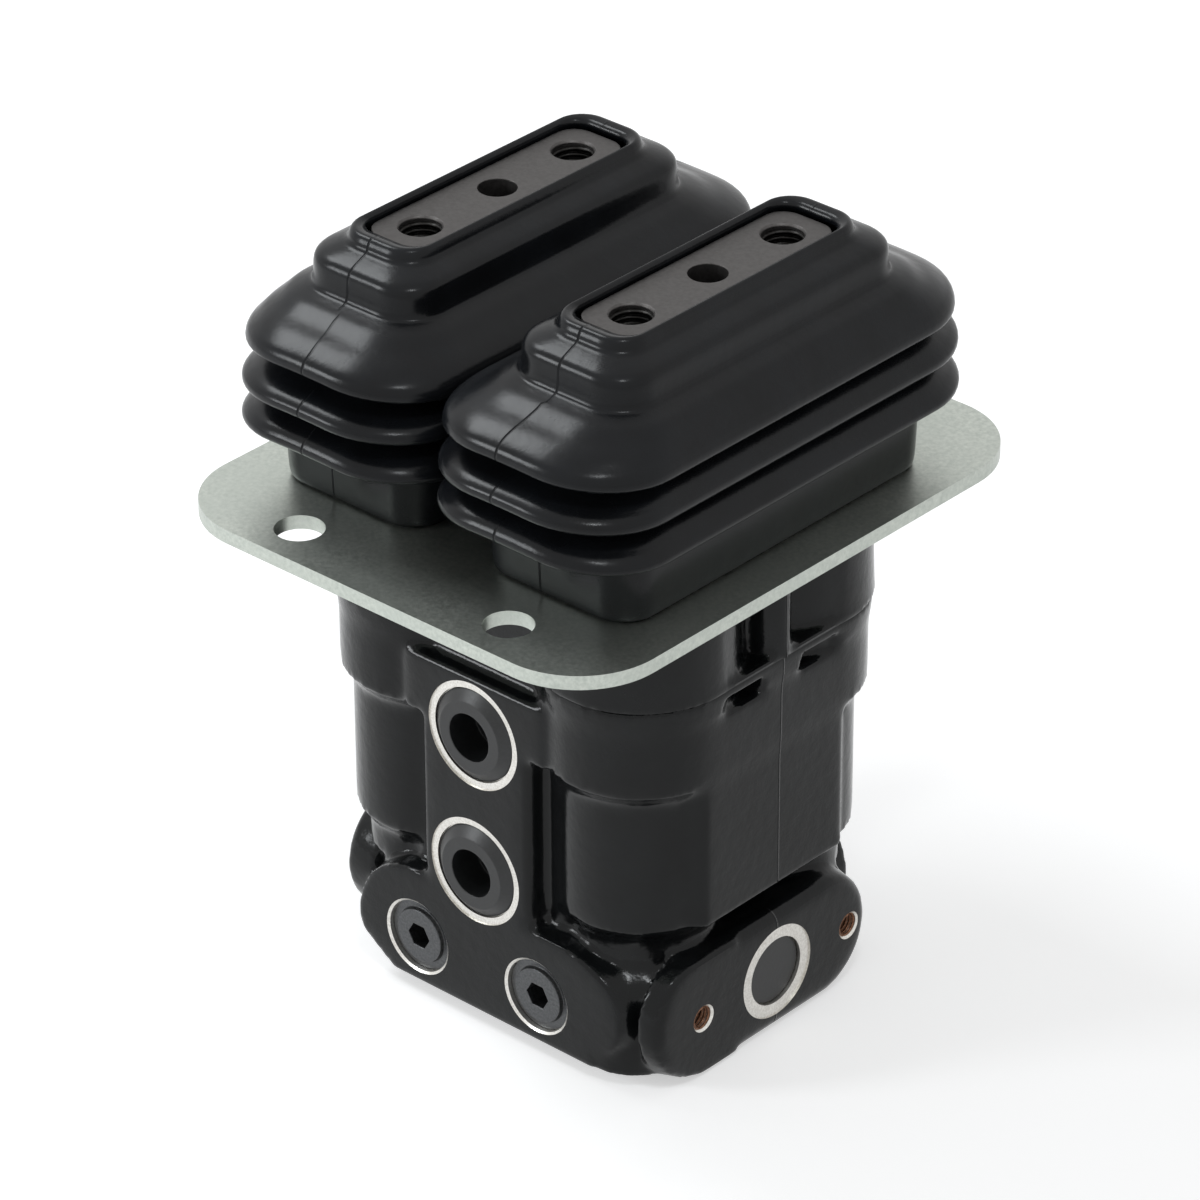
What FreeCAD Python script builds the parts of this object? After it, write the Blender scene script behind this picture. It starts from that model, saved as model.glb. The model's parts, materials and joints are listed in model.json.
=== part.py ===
# Travel pilot valve with two damped foot pedals' cams, in millimetres.
# The origin is the middle of the mounting plate's underside, +Z is up and the ports face -Y.
# Each pedal's cam rocks on a shaft across the valve and pushes one of two rods down;
# each rod carries a damping piston, a spring seat and, through a balance spring, its spool.
import FreeCAD, Part
import math
import os
import re

import Sketcher

# Driving sizes: name, value and what it is
SIZES = (
    ("pedal_pitch", 64.4, "between the two pedal cams, across"),
    ("rod_pitch", 46, "between the two push rods of one pedal"),
    ("plate_width", 133, "mounting plate, across"),
    ("plate_length", 158.5, "mounting plate, along the pedals"),
    ("plate_corner", 22, "mounting plate's corner radius"),
    ("plate_thickness", 3.6, "mounting plate's sheet"),
    ("mount_pitch_across", 65, "mounting holes, across"),
    ("mount_pitch_along", 135, "mounting holes, along"),
    ("mount_hole", 12, "mounting hole diameter"),
    ("fit_gap", 0.05, "radial gap of a sliding or running fit"),
    ("loose_gap", 0.3, "gap between pieces that don't fit into each other"),
    ("casing_height", 26, "upper casing, plate to seam"),
    ("casing_lobe", 23.6, "radius of a casing lobe under the plate"),
    ("casing_draft", 2, "draft of the casing lobes in degrees"),
    ("casing_wall", 20.5, "casing's flat front wall out from the rods"),
    ("core_wall", 16, "casing's side wall out from the rods"),
    ("core_corner", 12, "upright corners of the casing's and the body's core"),
    ("recess_wall", 13.3, "floor of the side recesses out from the rods"),
    ("recess_slant", 3, "how much less deep a recess is beside its lobe"),
    ("recess_gap", 0.8, "between a recess and the screw boss"),
    ("recess_end", 2, "a recess's end in from the rods"),
    ("rib_side", 17.5, "thin ribs in the recesses, out from the rods"),
    ("rib_along", 13.8, "those ribs from the middle, along"),
    ("rib_half", 0.8, "half thickness of those ribs"),
    ("flange_wall", 24, "straight side of the seam flange out from the rods"),
    ("seam_step", 0.3, "how far the casing's lip stands over that side"),
    ("seam_lip", 1.6, "thickness of the casing's lip at the seam"),
    ("boss_radius", 5.2, "casing's screw boss on each side"),
    ("boss_offset", 19.3, "centre of that boss out from the rods"),
    ("ridge", 0.4, "parting ridge on that boss: half its width, and its height"),
    ("flange_thickness", 6, "valve body's top flange"),
    ("flange_lobe", 24.2, "radius of the flange round each bore"),
    ("flange_draft", 5, "draft of the flange's edge in degrees"),
    ("flange_groove", 1.5, "height of the groove under the flange"),
    ("groove_lobe", 22.5, "radius in that groove"),
    ("band_lobe", 23.2, "lobe radius in the upper band"),
    ("band_foot", 49.5, "bottom of the upper band below the plate"),
    ("band_front", 22, "half width of the flat front of the band"),
    ("lobe_radius", 20.2, "lobe radius below the shoulder"),
    ("lobe_foot", 91, "bottom of the lobes below the plate"),
    ("lobe_round", 2.5, "bottom edge of the lobes"),
    ("neck_radius", 17, "column under each lobe"),
    ("front_wall", 22.5, "port face out from the rods"),
    ("inner_wall", 14.5, "wall behind the port pad out from the rods"),
    ("inner_side", 12, "body's core out from the rods, across"),
    ("slot_side", 22.5, "upright slot beside the port pad: its far wall from the middle"),
    ("slot_floor", 10, "that slot's floor out from the rods"),
    ("slot_round", 2.4, "that floor's round"),
    ("slot_top", 1.5, "that slot's top below the band"),
    ("pad_half", 17.3, "half width of the port pad"),
    ("edge_round", 2.5, "rounded edges of the casting"),
    ("panel_wall", 22.8, "side panel's face out from the rods"),
    ("panel_offset", 2.2, "side panel's centre off the middle, turned with the base"),
    ("panel_end", 3.4, "side panel's half length past the rods"),
    ("panel_slope", 3, "sloped edge of a side panel"),
    ("panel_depth", 15, "how deep a side panel is rooted"),
    ("pocket_side", 18.8, "pockets under the top flange: floor out from the rods"),
    ("pocket_top", 3.5, "those pockets' top below the seam"),
    ("pocket_height", 4.5, "those pockets' height"),
    ("panel_foot", 89, "bottom of the side panels below the plate"),
    ("base_foot", 126.3, "base's underside below the plate"),
    ("base_top", 97.5, "base's upper side below the plate"),
    ("base_shelf", 112, "upper side of the base between its corners, below the plate"),
    ("base_dome", 12, "round top edge of the base's large corners"),
    ("base_wall", 20.3, "base's side faces out from the rods"),
    ("base_step", 2, "end of the base's side face past the rods"),
    ("base_front", 20, "end of the base's front face from the middle"),
    ("root", 3, "how deep the necks run into the base, and the port pads end over its underside"),
    ("base_corner", 16, "large upright corner of the base"),
    ("column_radius", 17.5, "base's small corners"),
    ("lug_left", 6.8, "front flange's left end out from the rods"),
    ("lug_left_round", 19, "radius of that end"),
    ("lug_left_top", 94.5, "top of that end below the plate"),
    ("lug_right", 14.1, "front flange's right end out from the rods"),
    ("lug_right_round", 19.3, "radius of that end"),
    ("lug_right_top", 96.6, "top of that end below the plate"),
    ("lug_depth", 15.5, "front flange's depth"),
    ("lug_cut_height", 7.8, "sloped lower corner of the flange's left end, upwards"),
    ("lug_cut_width", 11, "that corner, across"),
    ("lug_cut_round", 6, "that corner's round"),
    ("boss_low_end", 16, "side boss's long end out from the rods"),
    ("boss_high_end", 11.2, "side boss's short end out from the rods"),
    ("boss_top", 96.5, "side boss's top below the plate"),
    ("boss_bottom", 129.9, "side boss's bottom below the plate"),
    ("boss_wall", 22.9, "side boss's face out from the rods"),
    ("boss_depth", 10.6, "side boss's depth"),
    ("boss_round", 3.5, "rounded edge of the side boss's face"),
    ("flat_end", 0.1, "half the straight left between the two rounds of one end"),
    ("beyond", 5, "how far a cutting outline reaches past what it cuts"),
    ("damper_bore", 13.5, "radius of the damping chamber"),
    ("damper_depth", 46, "bottom of the damping chamber below the plate"),
    ("spring_bore", 9.2, "radius of the return spring's chamber"),
    ("spring_floor", 72, "bottom of that chamber below the plate"),
    ("spool_radius", 4, "spool"),
    ("spool_fit", 0.03, "radial gap round a spool"),
    ("spool_foot", 112.5, "bottom of the spools below the plate"),
    ("spool_room", 2, "free bore under a spool"),
    ("upper_land", 74, "top of a spool's upper land below the plate"),
    ("upper_land_length", 10, "that land"),
    ("middle_land", 89, "top of the middle land below the plate"),
    ("middle_land_length", 7, "that land"),
    ("lower_land", 102, "top of the lower land below the plate"),
    ("outlet_radius", 7.6, "outlet port's thread in the base"),
    ("outlet_depth", 12, "outlet port's depth"),
    ("outlet_face", 11.5, "radius of the outlet's spot face"),
    ("face_cut", 0.4, "depth of a spot face"),
    ("tank_height", 49.1, "tank port's centre below the plate"),
    ("pressure_height", 86.6, "pressure port's centre below the plate"),
    ("port_face", 14, "radius of the main ports' spot face"),
    ("port_mouth", 12.2, "radius of the main ports' mouth"),
    ("port_radius", 9.3, "main ports' thread"),
    ("port_depth", 15, "main ports' depth"),
    ("mouth_depth", 1.6, "depth of a port's mouth"),
    ("side_face", 12.15, "radius of the side ports' spot face"),
    ("side_mouth", 8.9, "radius of the side ports' mouth"),
    ("side_mouth_depth", 2.6, "depth of that mouth"),
    ("side_height", 113.2, "side ports' centre below the plate"),
    ("side_bolt_pitch", 52.9, "tapped holes beside a side port"),
    ("side_bolt_radius", 2.5, "those holes"),
    ("side_bolt_depth", 12, "their depth"),
    ("cap_hole", 6.2, "radius of a port cap's blind hole"),
    ("cap_hole_depth", 7.5, "that hole's depth below the port face"),
    ("cap_depth", 10, "port cap's foot below the port face"),
    ("cap_rim", 0.7, "edge of a port cap's sloped flange below the port face"),
    ("cap_proud", 1.2, "port cap's raised ring over the port face"),
    ("side_cap_sink", 1.3, "a side port's cap below the face"),
    ("side_cap_shank", 6, "that cap's shank"),
    ("plug_pitch", 38.4, "between the two gallery plugs"),
    ("plug_height", 113.5, "gallery plugs' centre below the plate"),
    ("plug_recess", 9.45, "radius of a gallery plug's recess"),
    ("plug_recess_depth", 2, "depth of that recess"),
    ("plug_radius", 8, "gallery plug's thread"),
    ("plug_length", 10, "gallery plug's length under its head"),
    ("plug_face", 7, "radius of a gallery plug's raised face"),
    ("plug_sink", 0.5, "that face below the flange's"),
    ("plug_rim", 0.3, "thickness of the plug's rim"),
    ("plug_socket", 6, "gallery plug's hexagon socket, across flats and depth"),
    ("screw_socket", 4, "hexagon socket of the casing's and brackets' screws"),
    ("screw_socket_depth", 2, "that socket's depth"),
    ("casing_screw_radius", 2.5, "casing screw's thread"),
    ("casing_screw_head", 4.25, "casing screw's head radius"),
    ("casing_screw_head_height", 5, "casing screw's head"),
    ("casing_screw_length", 34, "casing screw under its head"),
    ("casing_screw_side", 18.2, "side screws out from the rods"),
    ("casing_screw_front", 6, "front and back screws out from the rods"),
    ("ring_radius", 15.7, "seam seal ring's middle line"),
    ("ring_section", 0.8, "half the seam ring's square section"),
    ("guide_gap", 0.1, "radial gap of a rod guide in the damping chamber"),
    ("guide_depth", 10, "rod guide below the plate"),
    ("guide_neck", 9.5, "rod guide's neck through the plate"),
    ("guide_top", 7, "rod guide's top above the plate's underside"),
    ("plate_rod_hole", 10, "radius of the plate's holes for the rod guides"),
    ("seal_radius", 8, "rod seal's outside"),
    ("seal_height", 4, "rod seal"),
    ("seal_lip", 0.8, "thickness of a rod seal's lip"),
    ("guide_ring_section", 1.1, "half the section of the ring round a rod guide"),
    ("rod_radius", 5, "push rod"),
    ("rod_top", 14, "push rod's top above the plate's underside"),
    ("rod_chamfer", 0.8, "push rod's chamfer"),
    ("stem_radius", 3.5, "push rod's stem through the damping piston"),
    ("piston_top", 17, "damping piston's top below the plate"),
    ("piston_height", 9, "damping piston"),
    ("piston_gap", 0.08, "radial gap of a damping piston in its chamber"),
    ("piston_dish", 1.5, "depth of the ring sunk in a piston's top"),
    ("piston_notch", 1, "radius of a piston's throttling notch"),
    ("seat_radius", 8.8, "spring seat"),
    ("seat_thickness", 3, "spring seat's flange"),
    ("seat_skirt", 6.2, "spring seat's skirt inside the return spring"),
    ("seat_height", 9.5, "spring seat, flange and skirt"),
    ("return_wire", 1.5, "return spring's wire"),
    ("return_radius", 7.6, "return spring's middle line"),
    ("return_turns", 5, "return spring's turns"),
    ("balance_wire", 1.2, "balance spring's wire"),
    ("balance_radius", 3.9, "balance spring's middle line"),
    ("balance_turns", 4, "balance spring's turns"),
    ("collar_height", 50, "spool collar's top below the plate"),
    ("collar_radius", 5, "spool collar"),
    ("collar_thickness", 2, "spool collar"),
    ("spool_head", 40, "spool stem's top below the plate"),
    ("spool_stem", 2.2, "spool stem's radius in the balance spring"),
    ("spool_neck", 2.8, "spool's radius between its lands"),
    ("shaft_height", 22, "cam shafts above the plate's underside"),
    ("shaft_radius", 6, "cam shafts"),
    ("hub_half", 8, "half width of a cam's hub"),
    ("hub_radius", 11, "cam's hub"),
    ("bush_wall", 1.8, "wall of a cam bush"),
    ("bush_flange", 10, "radius of a cam bush's flange"),
    ("bush_flange_thickness", 0.8, "thickness of that flange"),
    ("bush_gap", 0.5, "half the gap between a cam's two bushes"),
    ("ear_gap", 9.1, "inside of a bracket's ear from the cam's middle"),
    ("ear_thickness", 7, "bracket's ear"),
    ("ear_top", 10.5, "radius of an ear round the shaft"),
    ("ear_foot", 14, "half length of an ear at the bracket's base"),
    ("bracket_half", 20, "half width of a bracket's base"),
    ("bracket_reach", 44.5, "half length of a bracket's base"),
    ("bracket_corner", 9, "corner of a bracket's base"),
    ("bracket_thickness", 5, "bracket's base"),
    ("bracket_bolt_across", 13, "bracket screws from the cam's middle, across"),
    ("bracket_bolt_along", 36, "bracket screws from the middle, along"),
    ("bracket_screw_radius", 3, "bracket screw's thread"),
    ("bracket_screw_head", 5.2, "bracket screw's head radius"),
    ("bracket_screw_head_height", 3.2, "bracket screw's head"),
    ("bracket_screw_length", 20, "bracket screw under its head"),
    ("lock_screw_radius", 2.5, "shaft's lock screw"),
    ("lock_screw_sink", 0.6, "lock screw's top below the ear's crown"),
    ("cam_top", 65.3, "cam's top face above the plate's underside"),
    ("cam_half", 9.1, "half width of the cam's top"),
    ("cam_length", 71.6, "cam's top face, along"),
    ("cam_corner", 5.5, "cam top's upright corners"),
    ("cam_block", 13, "height of the cam's top block"),
    ("cam_web", 7, "half thickness of the cam's web"),
    ("web_fall", 9, "drop of the web from the block to its waist"),
    ("web_round", 8, "round at that waist"),
    ("cam_edge", 3, "rounds at the cam's block and arms"),
    ("waist_gap", 3.5, "between the cam's web and the lock nuts"),
    ("arm_bottom", 18.5, "underside of the cam's arms above the plate's underside"),
    ("arm_top", 28, "upper side of the cam's arms above the plate's underside"),
    ("arm_reach", 30.5, "cam arm's end from the middle"),
    ("pedal_hole_pitch", 51.8, "tapped holes for a pedal"),
    ("pedal_hole_radius", 4.25, "tapped hole for a pedal"),
    ("pedal_hole_depth", 16, "depth of those holes"),
    ("centre_hole_radius", 4.7, "plain hole in the middle of the cam"),
    ("centre_hole_depth", 20, "depth of that hole"),
    ("adjuster_radius", 4, "adjusting screw"),
    ("adjuster_tip", 3, "ball radius of its tip"),
    ("adjuster_gap", 0.1, "between the tip and the push rod at rest"),
    ("adjuster_length", 24, "adjusting screw"),
    ("adjuster_socket", 4, "its hexagon socket, across flats and depth"),
    ("adjuster_chamfer", 0.6, "its chamfer"),
    ("nut_flats", 13, "lock nut across its flats"),
    ("nut_height", 5, "lock nut"),
    ("boot_wall", 2, "rubber of the boots"),
    ("skirt_half", 22.8, "half width of a boot's skirt"),
    ("skirt_reach", 52, "half length of a boot's skirt"),
    ("skirt_corner", 12, "corner of the skirt"),
    ("fold_pitch", 10.5, "between the boot's folds"),
    ("fold_low", 24.2, "lowest fold's rim above the plate's underside"),
    ("fold_half", 30.5, "half width of a fold"),
    ("fold_reach", 67.5, "half length of a fold"),
    ("fold_corner", 18, "corner of a fold"),
    ("fold_shift", 1.4, "folds' middle from the cam's middle, inwards"),
    ("fold_lip", 3, "height of a fold's rim"),
    ("valley_half", 23.5, "half width between two folds"),
    ("valley_reach", 56, "half length between two folds"),
    ("valley_corner", 13, "corner between two folds"),
    ("neck_half", 18.6, "half width of a boot's neck at its foot"),
    ("neck_reach", 48.8, "half length of the neck at its foot"),
    ("neck_corner", 11, "corner of the neck"),
    ("neck_base", 53.5, "neck's foot above the plate's underside"),
    ("neck_shoulder", 60, "neck's shoulder above the plate's underside"),
    ("neck_draft", 1.6, "how much slimmer the neck is at its shoulder, each side"),
    ("lip_half", 11.5, "half width of a boot's lip round the cam"),
    ("lip_reach", 41, "half length of the lip"),
    ("lip_corner", 6, "corner of the lip"),
    ("lip_top", 67.6, "lip's top above the plate's underside"),
    ("lip_height", 4.2, "lip above its foot"),
    ("lip_foot", 1, "how much wider the lip's foot is, each side"),
    ("lip_end", 2.6, "extra rubber at the lip's ends"),
)

DOC = FreeCAD.newDocument("travel_pilot_valve")
SHEET = DOC.addObject("Spreadsheet::Sheet", "sizes")
for row, (alias, number, note) in enumerate(SIZES, start=1):
    SHEET.set(f"A{row}", alias)
    SHEET.set(f"B{row}", str(number))
    SHEET.set(f"C{row}", note)
    SHEET.setAlias(f"B{row}", alias)
DOC.recompute()
ALIASES = {alias for alias, number, note in SIZES}

# Every sub-part: the label, which names its file, and its object
NODES = {}


def value(text):
    """The number that an expression of sheet names comes to."""
    return float(SHEET.evalExpression(text))


def tied(text):
    """The same expression as another object of the document reads it."""
    def full(word):
        return f"sizes.{word.group(0)}" if word.group(0) in ALIASES else word.group(0)

    return re.sub("[a-z_]+", full, text)


def bind(thing, name, text):
    thing.setExpression(name, tied(text))


def times(sign, text):
    """An expression on the side that sign gives: 1 or -1."""
    return text if sign > 0 or text == "0" else f"-({text})"


# Sketches


def new_body(label):
    body = DOC.addObject("PartDesign::Body", label)
    body.Label = label
    return body


def keep(thing, label):
    NODES[label] = thing
    return thing


def place(thing, x="0", y="0", z="0"):
    for name, text in (("x", x), ("y", y), ("z", z)):
        if text != "0":
            bind(thing, f"Placement.Base.{name}", text)


def sketch(body, plane, offset="0"):
    """A sketch on a plane of the body: XY faces up, XZ faces -Y and YZ faces +X."""
    drawing = body.newObject("Sketcher::SketchObject", "sketch")
    role = f"{plane}_Plane"
    drawing.AttachmentSupport = ([f for f in body.Origin.OriginFeatures if f.Role == role][0], [""])
    drawing.MapMode = "FlatFace"
    if offset != "0":
        bind(drawing, "AttachmentOffset.Base.z", offset)
    return drawing


def fix_point(drawing, line, end, x, y):
    """Holds one end of a line, or a centre, at x, y."""
    for kind, text, axis in (("DistanceX", x, -2), ("DistanceY", y, -1)):
        if text == "0":
            drawing.addConstraint(Sketcher.Constraint("PointOnObject", line, end, axis))
        else:
            rule = Sketcher.Constraint(kind, -1, 1, line, end, value(text))
            bind(drawing, f"Constraints[{drawing.addConstraint(rule)}]", text)


def fix_radius(drawing, line, radius):
    rule = Sketcher.Constraint("Radius", line, value(radius))
    bind(drawing, f"Constraints[{drawing.addConstraint(rule)}]", radius)


def circles(drawing, spots):
    """Circles, each x, y and radius."""
    for x, y, radius in spots:
        centre = FreeCAD.Vector(value(x), value(y), 0)
        line = drawing.addGeometry(Part.Circle(centre, FreeCAD.Vector(0, 0, 1), value(radius)), False)
        fix_point(drawing, line, 3, x, y)
        fix_radius(drawing, line, radius)
    return drawing


def polygon(drawing, corners):
    """A closed outline through its corners, each x, y and, where it is rounded, a radius."""
    count = len(corners)
    points = [FreeCAD.Vector(value(corner[0]), value(corner[1]), 0) for corner in corners]
    radii = [value(corner[2]) if len(corner) > 2 else 0 for corner in corners]
    starts, ends, crowns = [], [], []
    for i, point in enumerate(points):
        back = (points[i - 1] - point).normalize()
        ahead = (points[(i + 1) % count] - point).normalize()
        half = back.getAngle(ahead) / 2
        reach = radii[i] / math.tan(half)
        starts.append(point + back * reach)
        ends.append(point + ahead * reach)
        depth = radii[i] / math.sin(half) - radii[i]
        crowns.append(point + (back + ahead).normalize() * depth)
    lines = []
    for i in range(count):
        side = Part.LineSegment(ends[i], starts[(i + 1) % count])
        lines.append(drawing.addGeometry(side, False))
    for i, corner in enumerate(corners):
        arriving, leaving = lines[i - 1], lines[i]
        if not radii[i]:
            drawing.addConstraint(Sketcher.Constraint("Coincident", arriving, 2, leaving, 1))
            fix_point(drawing, leaving, 1, corner[0], corner[1])
            continue
        arc = drawing.addGeometry(Part.Arc(starts[i], crowns[i], ends[i]), False)
        first = 1 if drawing.getPoint(arc, 1).distanceToPoint(starts[i]) < 1e-6 else 2
        drawing.addConstraint(Sketcher.Constraint("Tangent", arriving, 2, arc, first))
        drawing.addConstraint(Sketcher.Constraint("Tangent", arc, 3 - first, leaving, 1))
        apex = drawing.addGeometry(Part.Point(points[i]), True)
        drawing.addConstraint(Sketcher.Constraint("PointOnObject", apex, 1, arriving))
        drawing.addConstraint(Sketcher.Constraint("PointOnObject", apex, 1, leaving))
        fix_point(drawing, apex, 1, corner[0], corner[1])
        fix_radius(drawing, arc, corner[2])
    return drawing


def rectangle(drawing, half_x, half_y, corner=None, x="0", y="0"):
    """A rectangle about x, y, with rounded corners where a radius is given."""
    corners = []
    for sign_x, sign_y in ((1, 1), (-1, 1), (-1, -1), (1, -1)):
        spot = (f"{x} + {times(sign_x, half_x)}", f"{y} + {times(sign_y, half_y)}")
        corners.append(spot + ((corner,) if corner else ()))
    return polygon(drawing, corners)


def hexagon(drawing, flats):
    """A hexagon round the sketch's middle, with two corners on the sketch's own x."""
    corner = f"{flats} / sqrt(3)"
    corners = []
    for turn in range(0, 360, 60):
        corners.append((f"{corner} * cos({turn} deg)", f"{corner} * sin({turn} deg)"))
    return polygon(drawing, corners)


# Features


def pad(body, drawing, length, back=False, taper=None, both=False):
    step = body.newObject("PartDesign::Pad", "pad")
    step.Profile = drawing
    bind(step, "Length", length)
    step.Reversed = back
    step.Midplane = both
    if taper:
        bind(step, "TaperAngle", taper)
    return step


def pocket(body, drawing, depth=None, back=False):
    """Cuts against the sketch's normal, or along it with back, or right through both ways."""
    step = body.newObject("PartDesign::Pocket", "pocket")
    step.Profile = drawing
    if depth:
        bind(step, "Length", depth)
        step.Reversed = back
    else:
        step.Type = "ThroughAll"
        step.Midplane = True
    return step


def turned(body, drawing, cut=False):
    """Turns a half profile about the upright axis of its sketch."""
    kind = "Groove" if cut else "Revolution"
    step = body.newObject(f"PartDesign::{kind}", kind.lower())
    step.Profile = drawing
    step.ReferenceAxis = (drawing, ["V_Axis"])
    step.Angle = 360
    return step


def along(edge):
    """Its two ends and its middle."""
    first, last = edge.FirstParameter, edge.LastParameter
    return [edge.valueAt(spot) for spot in (first, (first + last) / 2, last)]


def fillet(body, radius, wanted):
    """Rounds those edges of the body's last solid that pass the test."""
    DOC.recompute()
    last = body.Tip
    names = [f"Edge{number}" for number, edge in enumerate(last.Shape.Edges, start=1) if wanted(edge)]
    step = body.newObject("PartDesign::Fillet", "fillet")
    step.Base = (last, names)
    bind(step, "Radius", radius)


def copies(label, master, spots):
    """One node of several equal pieces: a compound of links to the master."""
    links = []
    for x, y, z in spots:
        link = DOC.addObject("App::Link", f"{label}_link")
        link.LinkedObject = master
        place(link, x, y, z)
        links.append(link)
    group = DOC.addObject("Part::Compound", label)
    group.Label = label
    group.Links = links
    return keep(group, label)


# Places that several pieces share
ROD_X = "pedal_pitch / 2"
ROD_Y = "rod_pitch / 2"
RODS = [(times(i, ROD_X), times(k, ROD_Y)) for i in (-1, 1) for k in (-1, 1)]
SIDES = (("left", -1), ("right", 1))
ENDS = (("front", -1), ("back", 1))
SEAM = "-casing_height"
# Walls that stand out from the rods' lines
BODY_FRONT = f"({ROD_Y} + front_wall)"
BASE_REACH = f"({ROD_X} + base_wall)"
BOSS_FACE = f"({ROD_X} + boss_wall)"
PANEL_REACH = f"({ROD_X} + panel_wall)"
FLANGE_SIDE = f"({ROD_X} + flange_wall)"
LUG_LEFT = f"({ROD_X} + lug_left)"
LUG_RIGHT = f"({ROD_X} + lug_right)"
RECESS_START = "boss_radius + recess_gap"
RECESS_END = f"{ROD_Y} - recess_end"
GUIDE_RADIUS = "damper_bore - guide_gap"
PISTON_RADIUS = "damper_bore - piston_gap"
CASING_SCREWS = [(times(i, f"{ROD_X} + casing_screw_side"), "0") for i in (1, -1)]
CASING_SCREWS += [("0", times(k, f"{ROD_Y} + casing_screw_front")) for k in (1, -1)]
BRACKET_TOP = "plate_thickness + bracket_thickness"
BRACKET_SCREWS = [
    (f"{times(s, ROD_X)} + {times(i, 'bracket_bolt_across')}", times(k, "bracket_bolt_along"))
    for s in (-1, 1) for i in (-1, 1) for k in (-1, 1)
]


def at_rods(radius):
    return [(x, y, radius) for x, y in RODS]


def mounting_plate():
    body = new_body("mounting_plate")
    outline = sketch(body, "XY")
    pad(body, rectangle(outline, "plate_width / 2", "plate_length / 2", "plate_corner"), "plate_thickness")
    holes = sketch(body, "XY")
    circles(holes, [
        (times(i, "mount_pitch_across / 2"), times(k, "mount_pitch_along / 2"), "mount_hole / 2")
        for i in (-1, 1) for k in (-1, 1)
    ])
    circles(holes, at_rods("plate_rod_hole"))
    circles(holes, [(x, y, "bracket_screw_radius + loose_gap") for x, y in BRACKET_SCREWS])
    pocket(body, holes)
    return keep(body, "mounting_plate")


def upper_casing():
    """Casing under the plate: four drafted lobes round the rod guides and open recesses at the sides."""
    body = new_body("upper_casing")
    core = rectangle(sketch(body, "XY"), f"{ROD_X} + core_wall", f"{ROD_Y} + casing_wall", "core_corner")
    pad(body, core, "casing_height", back=True)
    pad(body, circles(sketch(body, "XY"), at_rods("casing_lobe")), "casing_height", True, "casing_draft")
    # A recess on each side of each screw boss, open outwards and closed below by the seam's lip
    floor = f"{ROD_X} + recess_wall"
    outside = f"{FLANGE_SIDE} + beyond"
    middle = f"(({RECESS_START}) + ({RECESS_END})) / 2"
    for side in (-1, 1):
        for end in (-1, 1):
            recess = polygon(sketch(body, "XY"), [
                (times(side, outside), times(end, RECESS_START)),
                (times(side, floor), times(end, RECESS_START)),
                (times(side, floor), times(end, middle)),
                (times(side, f"{floor} + recess_slant"), times(end, RECESS_END)),
                (times(side, outside), times(end, RECESS_END)),
            ])
            pocket(body, recess, "casing_height - seam_lip")
    lip = rectangle(sketch(body, "XY", SEAM), f"{FLANGE_SIDE} + seam_step", ROD_Y)
    pad(body, lip, "seam_lip")
    for side in (-1, 1):
        spot = times(side, f"{ROD_X} + boss_offset")
        pad(body, circles(sketch(body, "XY"), [(spot, "0", "boss_radius")]), "casing_height", back=True)
    # The bosses' parting ridge and the thin ribs in the recesses
    crest = f"{ROD_X} + boss_offset + boss_radius + ridge"
    pad(body, rectangle(sketch(body, "XY"), crest, "ridge"), "casing_height", back=True)
    for end in (-1, 1):
        spot = times(end, "rib_along")
        rib = rectangle(sketch(body, "XY"), f"{ROD_X} + rib_side", "rib_half", None, "0", spot)
        pad(body, rib, "casing_height", back=True)
    pocket(body, circles(sketch(body, "XY"), at_rods("damper_bore")))
    through = [(x, y, "casing_screw_radius + loose_gap") for x, y in CASING_SCREWS]
    pocket(body, circles(sketch(body, "XY"), through))
    heads = [(x, y, "casing_screw_head + fit_gap * 2") for x, y in CASING_SCREWS]
    pocket(body, circles(sketch(body, "XY"), heads), "casing_screw_head_height + fit_gap")
    tapped = [(x, y, "bracket_screw_radius + fit_gap") for x, y in BRACKET_SCREWS]
    depth = "bracket_screw_length - bracket_thickness - plate_thickness + loose_gap * 3"
    pocket(body, circles(sketch(body, "XY"), tapped), depth)
    return keep(body, "upper_casing")


def round_corner(body, turn):
    """A large upright corner of the base: a turned block whose top edge is well rounded."""
    drawing = sketch(body, "XZ", times(turn, f"{BODY_FRONT} - base_corner"))
    middle = times(turn, f"{BASE_REACH} - base_corner")
    outside = times(turn, BASE_REACH)
    ends = [FreeCAD.Vector(value(middle), value(level), 0) for level in ("-base_foot", "-base_top")]
    axis = drawing.addGeometry(Part.LineSegment(*ends), True)
    fix_point(drawing, axis, 1, middle, "-base_foot")
    fix_point(drawing, axis, 2, middle, "-base_top")
    polygon(drawing, [
        (middle, "-base_foot"),
        (outside, "-base_foot"),
        (outside, "-base_top", "base_dome"),
        (middle, "-base_top"),
    ])
    step = body.newObject("PartDesign::Revolution", "revolution")
    step.Profile = drawing
    step.ReferenceAxis = (drawing, ["Axis0"])
    step.Angle = 360


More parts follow.
